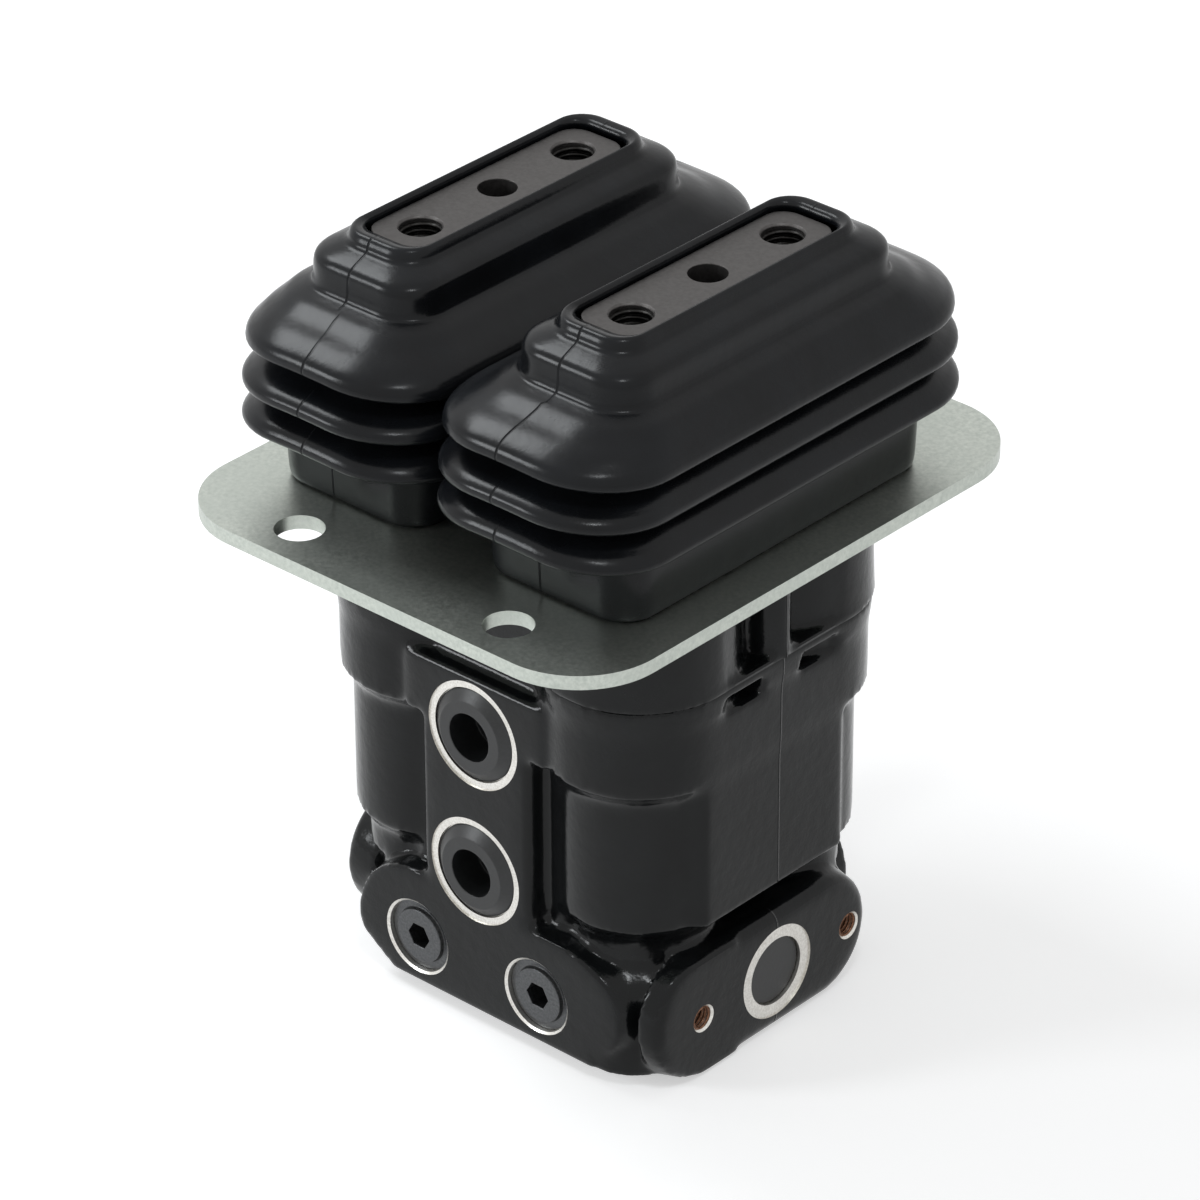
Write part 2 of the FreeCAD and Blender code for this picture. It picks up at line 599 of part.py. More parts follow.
def front_flange(body, end):
    """The flange with the gallery plugs, round at both ends; the back's is the same, turned."""
    face = times(end, BODY_FRONT)
    outline = sketch(body, "XZ", times(-1, face))
    polygon(outline, [
        (times(end, LUG_LEFT), "-lug_left_top", "lug_left_round"),
        (times(end, LUG_LEFT), "-base_foot + lug_cut_height", "lug_cut_round"),
        (times(end, f"{LUG_LEFT} - lug_cut_width"), "-base_foot", "edge_round"),
        (times(end, f"-{LUG_RIGHT}"), "-base_foot"),
        (times(end, f"-{LUG_RIGHT}"), "-lug_right_top", "lug_right_round"),
    ])
    pad(body, outline, "lug_depth", back=end < 0)
    # The large upright corner runs round the flange's end as well
    inner = times(-end, f"{BASE_REACH} - base_corner - beyond")
    outer = times(-end, f"{BASE_REACH} + beyond")
    back = times(end, f"{BODY_FRONT} - base_corner - beyond")
    front = times(end, f"{BODY_FRONT} + beyond")
    reach = times(-end, BASE_REACH)
    corner = sketch(body, "XY", "-base_foot")
    polygon(corner, [
        (inner, face),
        (reach, face, "base_corner"),
        (reach, back),
        (outer, back),
        (outer, front),
        (inner, front),
    ])
    pocket(body, corner, "base_foot - lug_left_top + beyond", back=True)


def side_boss(body, side):
    """The long boss with a side port and its two tapped holes; it stands a little below the base."""
    reach = times(side, BOSS_FACE)
    half = "(boss_bottom - boss_top) / 2 - flat_end"
    low = times(-side, f"{ROD_Y} + boss_low_end")
    high = times(side, f"{ROD_Y} + boss_high_end")
    boss = new_body("side_boss")
    outline = sketch(boss, "YZ", reach)
    polygon(outline, [
        (low, "-boss_top", half),
        (high, "-boss_top", half),
        (high, "-boss_bottom", half),
        (low, "-boss_bottom", half),
    ])
    pad(boss, outline, "boss_depth", back=side > 0)
    face = value(reach)
    fillet(boss, "boss_round", lambda edge: all(abs(spot.x - face) < 1e-4 for spot in along(edge)))
    join = body.newObject("PartDesign::Boolean", "join")
    join.setObjects([boss])
    # The port, its spot face and the tapped holes
    for radius, depth in (
        ("side_face", "face_cut"),
        ("side_mouth", "side_mouth_depth"),
        ("outlet_radius", "outlet_depth"),
    ):
        port = circles(sketch(body, "YZ", reach), [("0", "-side_height", radius)])
        pocket(body, port, depth, back=side < 0)
    bolts = [(times(k, "side_bolt_pitch / 2"), "-side_height", "side_bolt_radius") for k in (-1, 1)]
    pocket(body, circles(sketch(body, "YZ", reach), bolts), "side_bolt_depth", side < 0)


def valve_body():
    """The lower casting: four lobes over a turned, two-fold base, bored from above for the pilot spools."""
    body = new_body("valve_body")
    # Base block: two large corners and two small ones, the same when it is turned half round
    base = sketch(body, "XY", "-base_foot")
    column_x, column_y = f"{ROD_X} + column_radius", f"{ROD_Y} + column_radius"
    step = f"{ROD_Y} + base_step"
    corners = []
    for turn in (1, -1):
        corners += [
            (times(turn, BASE_REACH), times(turn, f"-{BODY_FRONT}"), "base_corner"),
            (times(turn, BASE_REACH), times(turn, step)),
            (times(turn, column_x), times(turn, step)),
            (times(turn, column_x), times(turn, column_y), "column_radius"),
            (times(turn, "-base_front"), times(turn, column_y)),
            (times(turn, "-base_front"), times(turn, BODY_FRONT)),
        ]
    polygon(base, corners)
    pad(body, base, "base_foot - base_shelf")
    for turn in (1, -1):
        round_corner(body, turn)
    core = sketch(body, "XY", SEAM)
    rectangle(core, f"{ROD_X} + inner_side", f"{ROD_Y} + inner_wall", "core_corner")
    pad(body, core, "base_foot - casing_height", back=True)
    band_top = "casing_height + flange_thickness + flange_groove"
    shoulder = "band_lobe - lobe_radius"

    def lobes(top, radius, height, taper=None):
        level = f"-({top})"
        pad(body, circles(sketch(body, "XY", level), at_rods(radius)), height, True, taper)

    lobes("casing_height", "flange_lobe", "flange_thickness", "-flange_draft")
    lobes("casing_height + flange_thickness", "groove_lobe", "flange_groove")
    lobes(band_top, "band_lobe", f"band_foot - ({band_top})")
    lobes("band_foot", "band_lobe", shoulder, "-45")
    lobes(f"band_foot + {shoulder}", "lobe_radius", f"lobe_foot - lobe_round - band_foot - ({shoulder})")
    lobes("lobe_foot - lobe_round", "lobe_radius", "lobe_round", "-45")
    lobes("lobe_foot", "neck_radius", "base_top - lobe_foot + root")
    # Straight sides of the flange and the band
    flange = rectangle(sketch(body, "XY", SEAM), FLANGE_SIDE, ROD_Y)
    pad(body, flange, "flange_thickness", True, "-flange_draft / 2")
    band = rectangle(sketch(body, "XY", f"-({band_top})"), f"{ROD_X} + band_lobe", ROD_Y)
    pad(body, band, f"band_foot - ({band_top})", back=True)
    flat = rectangle(sketch(body, "XY", f"-({band_top})"), "band_front", BODY_FRONT, "edge_round / 2")
    pad(body, flat, f"band_foot - ({band_top})", back=True)
    # Upright slots with round floors between the lobes and the port pads
    for side in (-1, 1):
        for end in (-1, 1):
            floor = times(end, f"{ROD_Y} + slot_floor")
            slot = polygon(sketch(body, "XY", "-(band_foot + slot_top)"), [
                (times(side, "slot_side"), times(end, f"{BODY_FRONT} + beyond")),
                (times(side, "slot_side"), floor, "slot_round"),
                (times(side, "pad_half - beyond / 2"), floor),
                (times(side, "pad_half - beyond / 2"), times(end, f"{BODY_FRONT} + beyond")),
            ])
            pocket(body, slot, "base_top - band_foot - slot_top - edge_round")
    # Port pad, front and back, down to the base
    port_pad = rectangle(sketch(body, "XY", f"-({band_top})"), "pad_half", BODY_FRONT, "edge_round")
    pad(body, port_pad, f"base_foot - root - ({band_top})", back=True)
    # Side panels, each off the middle the way the base is turned
    for side in (-1, 1):
        panel = sketch(body, "XY", "-band_foot")
        inside = times(side, f"{PANEL_REACH} - panel_depth")
        outside = times(side, PANEL_REACH)
        low = times(side, f"-panel_offset - {ROD_Y} - panel_end")
        high = times(side, f"-panel_offset + {ROD_Y} + panel_end")
        polygon(panel, [
            (inside, low),
            (times(side, f"{PANEL_REACH} - panel_slope"), low),
            (outside, f"{low} + {times(side, 'panel_slope')}", "panel_slope / 2"),
            (outside, high, "panel_slope / 2"),
            (inside, high),
        ])
        pad(body, panel, "panel_foot - band_foot", back=True)
    # Small pockets under the top flange, in line with the casing's recesses and parted by a thin rib
    pockets = sketch(body, "XY", "-(casing_height + pocket_top)")
    outside = f"{FLANGE_SIDE} + beyond"
    for side in (-1, 1):
        for end in (-1, 1):
            for start, stop in (
                (RECESS_START, "rib_along - rib_half"),
                ("rib_along + rib_half", RECESS_END),
            ):
                polygon(pockets, [
                    (times(side, outside), times(end, start)),
                    (times(side, f"{ROD_X} + pocket_side"), times(end, start)),
                    (times(side, f"{ROD_X} + pocket_side"), times(end, stop)),
                    (times(side, outside), times(end, stop)),
                ])
    pocket(body, pockets, "pocket_height")
    for end in (-1, 1):
        front_flange(body, end)
    for side in (-1, 1):
        side_boss(body, side)
    # Chambers from above
    for radius, foot in (
        ("damper_bore", "damper_depth"),
        ("spring_bore", "spring_floor"),
        ("spool_radius", "spool_foot + spool_room"),
    ):
        pocket(body, circles(sketch(body, "XY", SEAM), at_rods(radius)), f"{foot} - casing_height")
    groove = sketch(body, "XY", SEAM)
    circles(groove, at_rods("ring_radius + ring_section + fit_gap"))
    circles(groove, at_rods("ring_radius - ring_section - fit_gap"))
    pocket(body, groove, "ring_section * 2 + fit_gap")
    tapped = [(x, y, "casing_screw_radius + fit_gap") for x, y in CASING_SCREWS]
    tapped_depth = "casing_screw_length + casing_screw_head_height - casing_height + loose_gap * 3"
    pocket(body, circles(sketch(body, "XY", SEAM), tapped), tapped_depth)
    # Outlet ports from below
    for radius, depth in (("outlet_face", "face_cut"), ("outlet_radius", "outlet_depth")):
        pocket(body, circles(sketch(body, "XY", "-base_foot"), at_rods(radius)), depth, back=True)
    # Main ports and the gallery plugs' holes in the front
    for radius, depth in (
        ("port_face", "face_cut"),
        ("port_mouth", "mouth_depth"),
        ("port_radius", "port_depth"),
    ):
        ports = [("0", "-tank_height", radius), ("0", "-pressure_height", radius)]
        pocket(body, circles(sketch(body, "XZ", BODY_FRONT), ports), depth)
    for radius, depth in (
        ("plug_recess", "plug_recess_depth"),
        ("plug_radius + fit_gap", "plug_recess_depth + plug_length"),
    ):
        plugs = [(times(k, "plug_pitch / 2"), "-plug_height", radius) for k in (-1, 1)]
        pocket(body, circles(sketch(body, "XZ", BODY_FRONT), plugs), depth)
    return keep(body, "valve_body")


def seam_rings():
    """Square-cut seal rings between the casing and the valve body, one round each bore."""
    ring = new_body("seam_ring")
    turned(ring, rectangle(sketch(ring, "XZ"), "ring_section", "ring_section", None, "ring_radius"))
    copies("seam_seal_rings", ring, [(x, y, "-casing_height - ring_section - fit_gap / 2") for x, y in RODS])


def casing_screws():
    screw = new_body("casing_screw")
    head = circles(sketch(screw, "XY"), [("0", "0", "casing_screw_head")])
    pad(screw, head, "casing_screw_head_height", back=True)
    shank = circles(sketch(screw, "XY"), [("0", "0", "casing_screw_radius")])
    pad(screw, shank, "casing_screw_head_height + casing_screw_length", back=True)
    pocket(screw, hexagon(sketch(screw, "XY"), "screw_socket"), "screw_socket_depth")
    copies("casing_screws", screw, [(x, y, "-fit_gap") for x, y in CASING_SCREWS])


def rod_guides():
    guide = new_body("rod_guide")
    pad(guide, circles(sketch(guide, "XY"), [("0", "0", GUIDE_RADIUS)]), "guide_depth", back=True)
    pad(guide, circles(sketch(guide, "XY"), [("0", "0", "guide_neck")]), "guide_top")
    pocket(guide, circles(sketch(guide, "XY"), [("0", "0", "rod_radius + fit_gap")]))
    seat = circles(sketch(guide, "XY", "guide_top"), [("0", "0", "seal_radius")])
    pocket(guide, seat, "seal_height")
    groove = sketch(guide, "XZ")
    half = "guide_ring_section + fit_gap"
    floor = f"{GUIDE_RADIUS} - guide_ring_section * 2"
    polygon(groove, [
        (floor, f"-guide_depth / 2 - ({half})"),
        ("damper_bore", f"-guide_depth / 2 - ({half})"),
        ("damper_bore", f"-guide_depth / 2 + {half}"),
        (floor, f"-guide_depth / 2 + {half}"),
    ])
    turned(guide, groove, cut=True)
    copies("rod_guides", guide, [(x, y, "-fit_gap") for x, y in RODS])
    ring = new_body("guide_ring")
    middle = f"{GUIDE_RADIUS} - guide_ring_section + fit_gap / 2"
    half_width = "guide_ring_section - fit_gap"
    turned(ring, rectangle(sketch(ring, "XZ"), half_width, half_width, None, middle))
    copies("guide_seal_rings", ring, [(x, y, "-guide_depth / 2 - fit_gap") for x, y in RODS])
    seal = new_body("rod_seal")
    lip = sketch(seal, "XZ")
    polygon(lip, [
        ("rod_radius + fit_gap", "0"),
        ("seal_radius - fit_gap", "0"),
        ("seal_radius - fit_gap", "seal_height - fit_gap * 4"),
        ("rod_radius + seal_lip * 2", "seal_height - fit_gap * 4"),
        ("rod_radius + seal_lip * 1.4", "seal_height / 3"),
        ("rod_radius + seal_lip", "seal_height - seal_lip"),
        ("rod_radius + fit_gap", "seal_height - seal_lip"),
    ])
    turned(seal, lip)
    copies("rod_seals", seal, [(x, y, "guide_top - seal_height") for x, y in RODS])


def push_rod(label, x, y):
    body = new_body(label)
    profile = sketch(body, "XZ")
    polygon(profile, [
        ("0", "rod_top"),
        ("rod_radius - rod_chamfer", "rod_top"),
        ("rod_radius", "rod_top - rod_chamfer"),
        ("rod_radius", "-piston_top"),
        ("stem_radius", "-piston_top"),
        ("stem_radius", "-piston_top - piston_height"),
        ("0", "-piston_top - piston_height"),
    ])
    turned(body, profile)
    place(body, x, y)
    keep(body, label)


def damping_piston(label, x, y):
    """Piston with a throttling notch down its side and a stepped bore for the rod's stem."""
    body = new_body(label)
    top = "-piston_top"
    pad(body, circles(sketch(body, "XY", top), [("0", "0", PISTON_RADIUS)]), "piston_height", back=True)
    pocket(body, circles(sketch(body, "XY", top), [("0", "0", "stem_radius + fit_gap / 2")]))
    dish = [("0", "0", "rod_radius + stem_radius"), ("0", "0", "rod_radius + piston_notch")]
    pocket(body, circles(sketch(body, "XY", top), dish), "piston_dish")
    pocket(body, circles(sketch(body, "XY", top), [(PISTON_RADIUS, "0", "piston_notch")]))
    place(body, x, y)
    keep(body, label)


def spring_seat(label, x, y):
    body = new_body(label)
    top = "-piston_top - piston_height"
    profile = sketch(body, "XZ")
    polygon(profile, [
        ("0", top),
        ("seat_radius", top),
        ("seat_radius", f"{top} - seat_thickness"),
        ("seat_skirt", f"{top} - seat_thickness"),
        ("seat_skirt", f"{top} - seat_height"),
        ("balance_radius + balance_wire / 2 + loose_gap", f"{top} - seat_height"),
        ("balance_radius + balance_wire / 2 + loose_gap", f"{top} - seat_thickness"),
        ("0", f"{top} - seat_thickness"),
    ])
    turned(body, profile)
    place(body, x, y)
    keep(body, label)


def coil(label, x, y, radius, wire, turns, top, foot):
    """A compression spring of square wire between two levels."""
    body = new_body(label)
    section = sketch(body, "XZ", "0")
    rectangle(section, f"{wire} / 2", f"{wire} / 2", None, radius, f"{foot} + {wire} / 2")
    spring = body.newObject("PartDesign::AdditiveHelix", "helix")
    spring.Profile = section
    spring.ReferenceAxis = (section, ["V_Axis"])
    spring.Mode = "height-turns-angle"
    bind(spring, "Height", f"{top} - ({foot}) - {wire}")
    bind(spring, "Turns", turns)
    place(body, x, y)
    keep(body, label)


def spool(label, x, y):
    """Pilot spool: stem in the balance spring, collar under it and lands between grooves."""
    body = new_body(label)
    collar_foot = "-collar_height - collar_thickness"
    land = "spool_radius - spool_fit"
    profile = sketch(body, "XZ")
    points = [
        ("0", "-spool_head"),
        ("spool_stem", "-spool_head"),
        ("spool_stem", "-collar_height"),
        ("collar_radius", "-collar_height"),
        ("collar_radius", collar_foot),
        ("spool_neck", collar_foot),
    ]
    for top, foot in (
        ("upper_land", "(upper_land + upper_land_length)"),
        ("middle_land", "(middle_land + middle_land_length)"),
        ("lower_land", "spool_foot"),
    ):
        points += [("spool_neck", f"-{top}"), (land, f"-{top}"), (land, f"-{foot}")]
        if foot != "spool_foot":
            points.append(("spool_neck", f"-{foot}"))
    points.append(("0", "-spool_foot"))
    polygon(profile, points)
    turned(body, profile)
    place(body, x, y)
    keep(body, label)


def pilot_stacks():
    """What stands in each of the four bores, from the rod down to the spool."""
    seat_face = "-piston_top - piston_height - seat_thickness"
    for side, i in SIDES:
        for end, k in ENDS:
            x, y = times(i, ROD_X), times(k, ROD_Y)
            spot = f"{side}_{end}"
            push_rod(f"push_rod_{spot}", x, y)
            damping_piston(f"damping_piston_{spot}", x, y)
            spring_seat(f"spring_seat_{spot}", x, y)
            coil(
                f"return_spring_{spot}", x, y, "return_radius", "return_wire", "return_turns",
                seat_face, "-spring_floor",
            )
            coil(
                f"balance_spring_{spot}", x, y, "balance_radius", "balance_wire", "balance_turns",
                seat_face, "-collar_height",
            )
            spool(f"spool_{spot}", x, y)


def port_caps():
    """Plastic caps in the main ports: a sloped flange, a raised ring and a blind middle."""
    for label, height in (("tank_port_cap", "tank_height"), ("pressure_port_cap", "pressure_height")):
        body = new_body(label)
        profile = sketch(body, "XY")
        sleeve = "port_radius - fit_gap"
        polygon(profile, [
            ("0", "cap_depth"),
            (sleeve, "cap_depth"),
            (sleeve, "mouth_depth"),
            ("port_mouth - loose_gap", "mouth_depth"),
            ("port_mouth - loose_gap", "cap_rim"),
            ("port_radius", "-cap_proud"),
            ("cap_hole", "-cap_proud"),
            ("cap_hole", "cap_hole_depth"),
            ("0", "cap_hole_depth"),
        ])
        turned(body, profile)
        place(body, "0", f"-{BODY_FRONT}", f"-{height}")
        keep(body, label)
    for side, i in SIDES:
        label = f"side_port_cap_{side}"
        body = new_body(label)
        disc = sketch(body, "YZ", times(-i, "side_cap_sink"))
        circles(disc, [("0", "0", "side_mouth - loose_gap")])
        pad(body, disc, "side_mouth_depth - side_cap_sink", back=i > 0)
        shank = sketch(body, "YZ", times(-i, "side_mouth_depth"))
        circles(shank, [("0", "0", "outlet_radius - fit_gap")])
        pad(body, shank, "side_cap_shank", back=i > 0)
        place(body, times(i, BOSS_FACE), "0", "-side_height")
        keep(body, label)


def gallery_plugs():
    plug = new_body("gallery_plug")
    profile = sketch(plug, "XY")
    polygon(profile, [
        ("0", "plug_sink"),
        ("plug_face", "plug_sink"),
        ("plug_face + plug_rim", "plug_recess_depth - plug_rim"),
        ("plug_recess - fit_gap * 2", "plug_recess_depth - plug_rim"),
        ("plug_recess - fit_gap * 2", "plug_recess_depth"),
        ("plug_radius", "plug_recess_depth"),
        ("plug_radius", "plug_recess_depth + plug_length - plug_sink"),
        ("0", "plug_recess_depth + plug_length - plug_sink"),
    ])
    turned(plug, profile)
    pocket(plug, hexagon(sketch(plug, "XZ"), "plug_socket"), "plug_socket")
    spots = [(times(k, "plug_pitch / 2"), f"-{BODY_FRONT}", "-plug_height") for k in (-1, 1)]
    copies("gallery_plugs", plug, spots)


def hinge_bracket(side, i):
    """Base with clearance holes for the rod guides and two ears that carry the cam's shaft."""
    label = f"hinge_bracket_{side}"
    body = new_body(label)
    base = rectangle(sketch(body, "XY"), "bracket_half", "bracket_reach", "bracket_corner")
    pad(body, base, "bracket_thickness")
    shaft = "shaft_height - plate_thickness"
    for ear in (-1, 1):
        outline = sketch(body, "YZ", times(ear, "ear_gap"))
        polygon(outline, [
            ("ear_foot", "0"),
            ("ear_top", f"{shaft} + ear_top", "ear_top"),
            ("-ear_top", f"{shaft} + ear_top", "ear_top"),
            ("-ear_foot", "0"),
        ])
        pad(body, outline, "ear_thickness", back=ear < 0)
    pocket(body, circles(sketch(body, "YZ"), [("0", shaft, "shaft_radius + fit_gap / 2")]))
    for end in (-1, 1):
        hole = circles(sketch(body, "XY"), [("0", times(end, ROD_Y), "guide_neck + loose_gap")])
        pocket(body, hole, "bracket_thickness", back=True)
    bolts = [
        (times(a, "bracket_bolt_across"), times(b, "bracket_bolt_along"), "bracket_screw_radius + loose_gap")
        for a in (-1, 1) for b in (-1, 1)
    ]
    pocket(body, circles(sketch(body, "XY"), bolts))
    lock = [("ear_gap + ear_thickness / 2", "0", "lock_screw_radius + fit_gap")]
    pocket(body, circles(sketch(body, "XY", shaft), lock), "ear_top + beyond", back=True)
    place(body, times(i, ROD_X), "0", "plate_thickness")
    keep(body, label)


def bracket_screws():
    screw = new_body("bracket_screw")
    head = circles(sketch(screw, "XY"), [("0", "0", "bracket_screw_head")])
    pad(screw, head, "bracket_screw_head_height", taper="-20")
    shank = circles(sketch(screw, "XY"), [("0", "0", "bracket_screw_radius")])
    pad(screw, shank, "bracket_screw_length", back=True)
    socket = hexagon(sketch(screw, "XY", "bracket_screw_head_height"), "screw_socket")
    pocket(screw, socket, "screw_socket_depth")
    copies("bracket_screws", screw, [(x, y, BRACKET_TOP) for x, y in BRACKET_SCREWS])


def lock_screws():
    screw = new_body("lock_screw")
    shank = circles(sketch(screw, "XY"), [("0", "0", "lock_screw_radius")])
    length = "ear_top - shaft_radius - lock_screw_sink"
    pad(screw, shank, length)
    socket = hexagon(sketch(screw, "XY", length), "lock_screw_radius")
    pocket(screw, socket, "lock_screw_radius")
    middle = "ear_gap + ear_thickness / 2"
    spots = [(f"{times(i, ROD_X)} + {middle}", "0", "shaft_height + shaft_radius") for i in (-1, 1)]
    copies("shaft_lock_screws", screw, spots)


def cam_shaft(side, i):
    label = f"cam_shaft_{side}"
    body = new_body(label)
    half = "ear_gap + ear_thickness"
    shaft = circles(sketch(body, "YZ"), [("0", "0", "shaft_radius")])
    pad(body, shaft, f"({half}) * 2", both=True)
    place(body, times(i, ROD_X), "0", "shaft_height")
    keep(body, label)


def cam(side, i):
    """Rocking cam: a top block for the pedal, a waisted web, a hub and two arms for the adjusters."""
    label = f"cam_{side}"
    body = new_body(label)
    top = "cam_top - shaft_height"
    block = rectangle(sketch(body, "XY", top), "cam_half", "cam_length / 2", "cam_corner")
    pad(body, block, "cam_block", back=True)
    web = sketch(body, "YZ")
    block_foot = f"{top} - cam_block"
    block_end = "(cam_length / 2 - cam_corner)"
    waist = f"({ROD_Y} - nut_flats / sqrt(3) - waist_gap)"
    half = [
        (block_end, f"{top} - cam_block / 2"),
        (block_end, block_foot, "cam_edge"),
        (waist, f"{block_foot} - web_fall", "web_round"),
        (waist, "arm_top - shaft_height", "cam_edge"),
        ("arm_reach", "arm_top - shaft_height", "cam_edge"),
        ("arm_reach", "arm_bottom - shaft_height", "cam_edge"),
    ]
    polygon(web, half + [(f"-{reach}", *rest) for reach, *rest in reversed(half)])
    pad(body, web, "cam_web * 2", both=True)
    pad(body, circles(sketch(body, "YZ"), [("0", "0", "hub_radius")]), "hub_half * 2", both=True)
    pocket(body, circles(sketch(body, "YZ"), [("0", "0", "shaft_radius + fit_gap + bush_wall")]))
    threads = [("0", times(k, "pedal_hole_pitch / 2"), "pedal_hole_radius") for k in (-1, 1)]
    pocket(body, circles(sketch(body, "XY", top), threads), "pedal_hole_depth")
    middle = circles(sketch(body, "XY", top), [("0", "0", "centre_hole_radius")])
    pocket(body, middle, "centre_hole_depth")
    for end in (-1, 1):
        hole = [("0", times(end, ROD_Y), "adjuster_radius + fit_gap")]
        adjuster = circles(sketch(body, "XY", "arm_top - shaft_height + loose_gap"), hole)
        pocket(body, adjuster, "arm_top - arm_bottom + loose_gap * 2")
    place(body, times(i, ROD_X), "0", "shaft_height")
    keep(body, label)


def cam_bushes():
    """Two flanged bushes in each cam's hub."""
    for side, i in SIDES:
        halves = []
        for face in (-1, 1):
            bush = new_body("cam_bush")
            sleeve = sketch(bush, "YZ", times(face, "bush_gap"))
            circles(sleeve, [("0", "0", "shaft_radius + fit_gap + bush_wall")])
            pad(bush, sleeve, "hub_half - bush_gap", back=face < 0)
            flange = circles(sketch(bush, "YZ", times(face, "hub_half")), [("0", "0", "bush_flange")])
            pad(bush, flange, "bush_flange_thickness", back=face < 0)
            pocket(bush, circles(sketch(bush, "YZ"), [("0", "0", "shaft_radius + fit_gap")]))
            place(bush, times(i, ROD_X), "0", "shaft_height")
            halves.append(bush)
        pair = DOC.addObject("Part::Compound", f"cam_bushes_{side}")
        pair.Label = f"cam_bushes_{side}"
        pair.Links = halves
        keep(pair, pair.Label)


def adjusters():
    """Ball-ended adjusting screws in the cams' arms, each with its lock nut."""
    screw = new_body("adjusting_screw")
    profile = sketch(screw, "XZ")
    polygon(profile, [
        ("0", "0"),
        ("adjuster_tip", "0", "adjuster_tip * 0.9"),
        ("adjuster_tip", "adjuster_tip * 1.3"),
        ("adjuster_radius", "adjuster_tip * 1.6"),
        ("adjuster_radius", "adjuster_length - adjuster_chamfer"),
        ("adjuster_radius - adjuster_chamfer", "adjuster_length"),
        ("0", "adjuster_length"),
    ])
    turned(screw, profile)
    pocket(screw, hexagon(sketch(screw, "XY", "adjuster_length"), "adjuster_socket"), "adjuster_socket")
    nut = new_body("lock_nut")
    pad(nut, hexagon(sketch(nut, "XY"), "nut_flats"), "nut_height")
    pocket(nut, circles(sketch(nut, "XY"), [("0", "0", "adjuster_radius + fit_gap")]))
    for side, i in SIDES:
        x = times(i, ROD_X)
        ends = [times(k, ROD_Y) for k in (-1, 1)]
        copies(f"adjusting_screws_{side}", screw, [(x, y, "rod_top + adjuster_gap") for y in ends])
        copies(f"lock_nuts_{side}", nut, [(x, y, "arm_top") for y in ends])


def boot(side, i):
    """Rubber bellows round a cam: a skirt on the plate, three folds, a neck and a lip."""
    label = f"boot_{side}"
    # Level, half width, half length, corner and how far the section's middle lies inwards
    sections = [
        ("plate_thickness + loose_gap", "skirt_half", "skirt_reach", "skirt_corner", "0"),
        ("fold_low - fold_lip", "skirt_half", "skirt_reach", "skirt_corner", "0"),
    ]
    for fold in range(3):
        level = f"fold_low + {fold} * fold_pitch"
        rim = ("fold_half", "fold_reach", "fold_corner", "fold_shift")
        sections.append((f"{level} - fold_lip / 2", *rim))
        sections.append((f"{level} + fold_lip / 2", *rim))
        if fold < 2:
            valley = ("valley_half", "valley_reach", "valley_corner", "0")
            sections.append((f"{level} + fold_pitch / 2", *valley))
    shoulder = ("neck_half - neck_draft", "neck_reach - neck_draft", "neck_corner", "0")
    sections += [
        ("neck_base", "neck_half", "neck_reach", "neck_corner", "0"),
        ("neck_shoulder", *shoulder),
        ("lip_top - lip_height", "lip_half + lip_foot", "lip_reach + lip_foot", "lip_corner", "0"),
        ("lip_top", "lip_half", "lip_reach", "lip_corner", "0"),
    ]

    def loft(name, levels, wall):
        """A straight-sided stack of rounded sections, drawn in by the wall."""
        drawings = []
        for level, half, reach, corner, inwards in levels:
            wire = DOC.addObject("Sketcher::SketchObject", "section")
            bind(wire, "Placement.Base.z", level)
            bind(wire, "Placement.Base.x", f"{times(i, ROD_X)} - {times(i, inwards)}")
            rectangle(wire, f"{half} - {wall}", f"{reach} - {wall}", f"{corner} - {wall} / 2")
            drawings.append(wire)
        skin = DOC.addObject("Part::Loft", name)
        skin.Sections = drawings
        skin.Solid = True
        skin.Ruled = True
        return skin

    skirt = ("skirt_half", "skirt_reach", "skirt_corner", "0")
    valley = ("valley_half", "valley_reach", "valley_corner", "0")
    mouth = ("lip_half", "lip_reach - lip_end", "lip_corner", "0")
    inner = [
        ("plate_thickness", *skirt),
        ("fold_low - fold_lip", *skirt),
        ("fold_low + fold_pitch / 2", *valley),
        ("fold_low + fold_pitch * 1.5", *valley),
        ("neck_base - boot_wall", "neck_half", "neck_reach", "neck_corner", "0"),
        ("neck_shoulder - boot_wall / 2", *shoulder),
        ("lip_top - lip_height - boot_wall", *mouth),
        ("lip_top + boot_wall", *mouth),
    ]
    shell = DOC.addObject("Part::Cut", label)
    shell.Label = label
    shell.Base = loft(f"{label}_outside", sections, "0")
    shell.Tool = loft(f"{label}_inside", inner, "boot_wall")
    keep(shell, label)


def check(thing, label):
    """Stops with a plain message where an object failed to build."""
    for one in DOC.Objects:
        if any(word in one.State for word in ("Invalid", "Error")):
            raise RuntimeError(f"{one.Label} ({one.Name}) failed to build")
    shape = thing.Shape
    if shape.isNull() or not shape.isValid() or not shape.Solids:
        raise RuntimeError(f"{label} has no valid solid")


def main():
    mounting_plate()
    upper_casing()
    valve_body()
    seam_rings()
    casing_screws()
    rod_guides()
    port_caps()
    gallery_plugs()
    for side, i in SIDES:
        hinge_bracket(side, i)
        cam_shaft(side, i)
        cam(side, i)
        boot(side, i)
    bracket_screws()
    lock_screws()
    cam_bushes()
    adjusters()
    pilot_stacks()
    DOC.recompute()
    for label, thing in NODES.items():
        check(thing, label)
    os.makedirs("parts", exist_ok=True)
    for label, thing in NODES.items():
        thing.Shape.exportStep(f"parts/{label}.step")
        print(label, len(thing.Shape.Solids), round(thing.Shape.Volume, 1))


main()
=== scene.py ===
import json
import math

import bmesh
import bpy
import numpy as np
from mathutils import Matrix, Vector


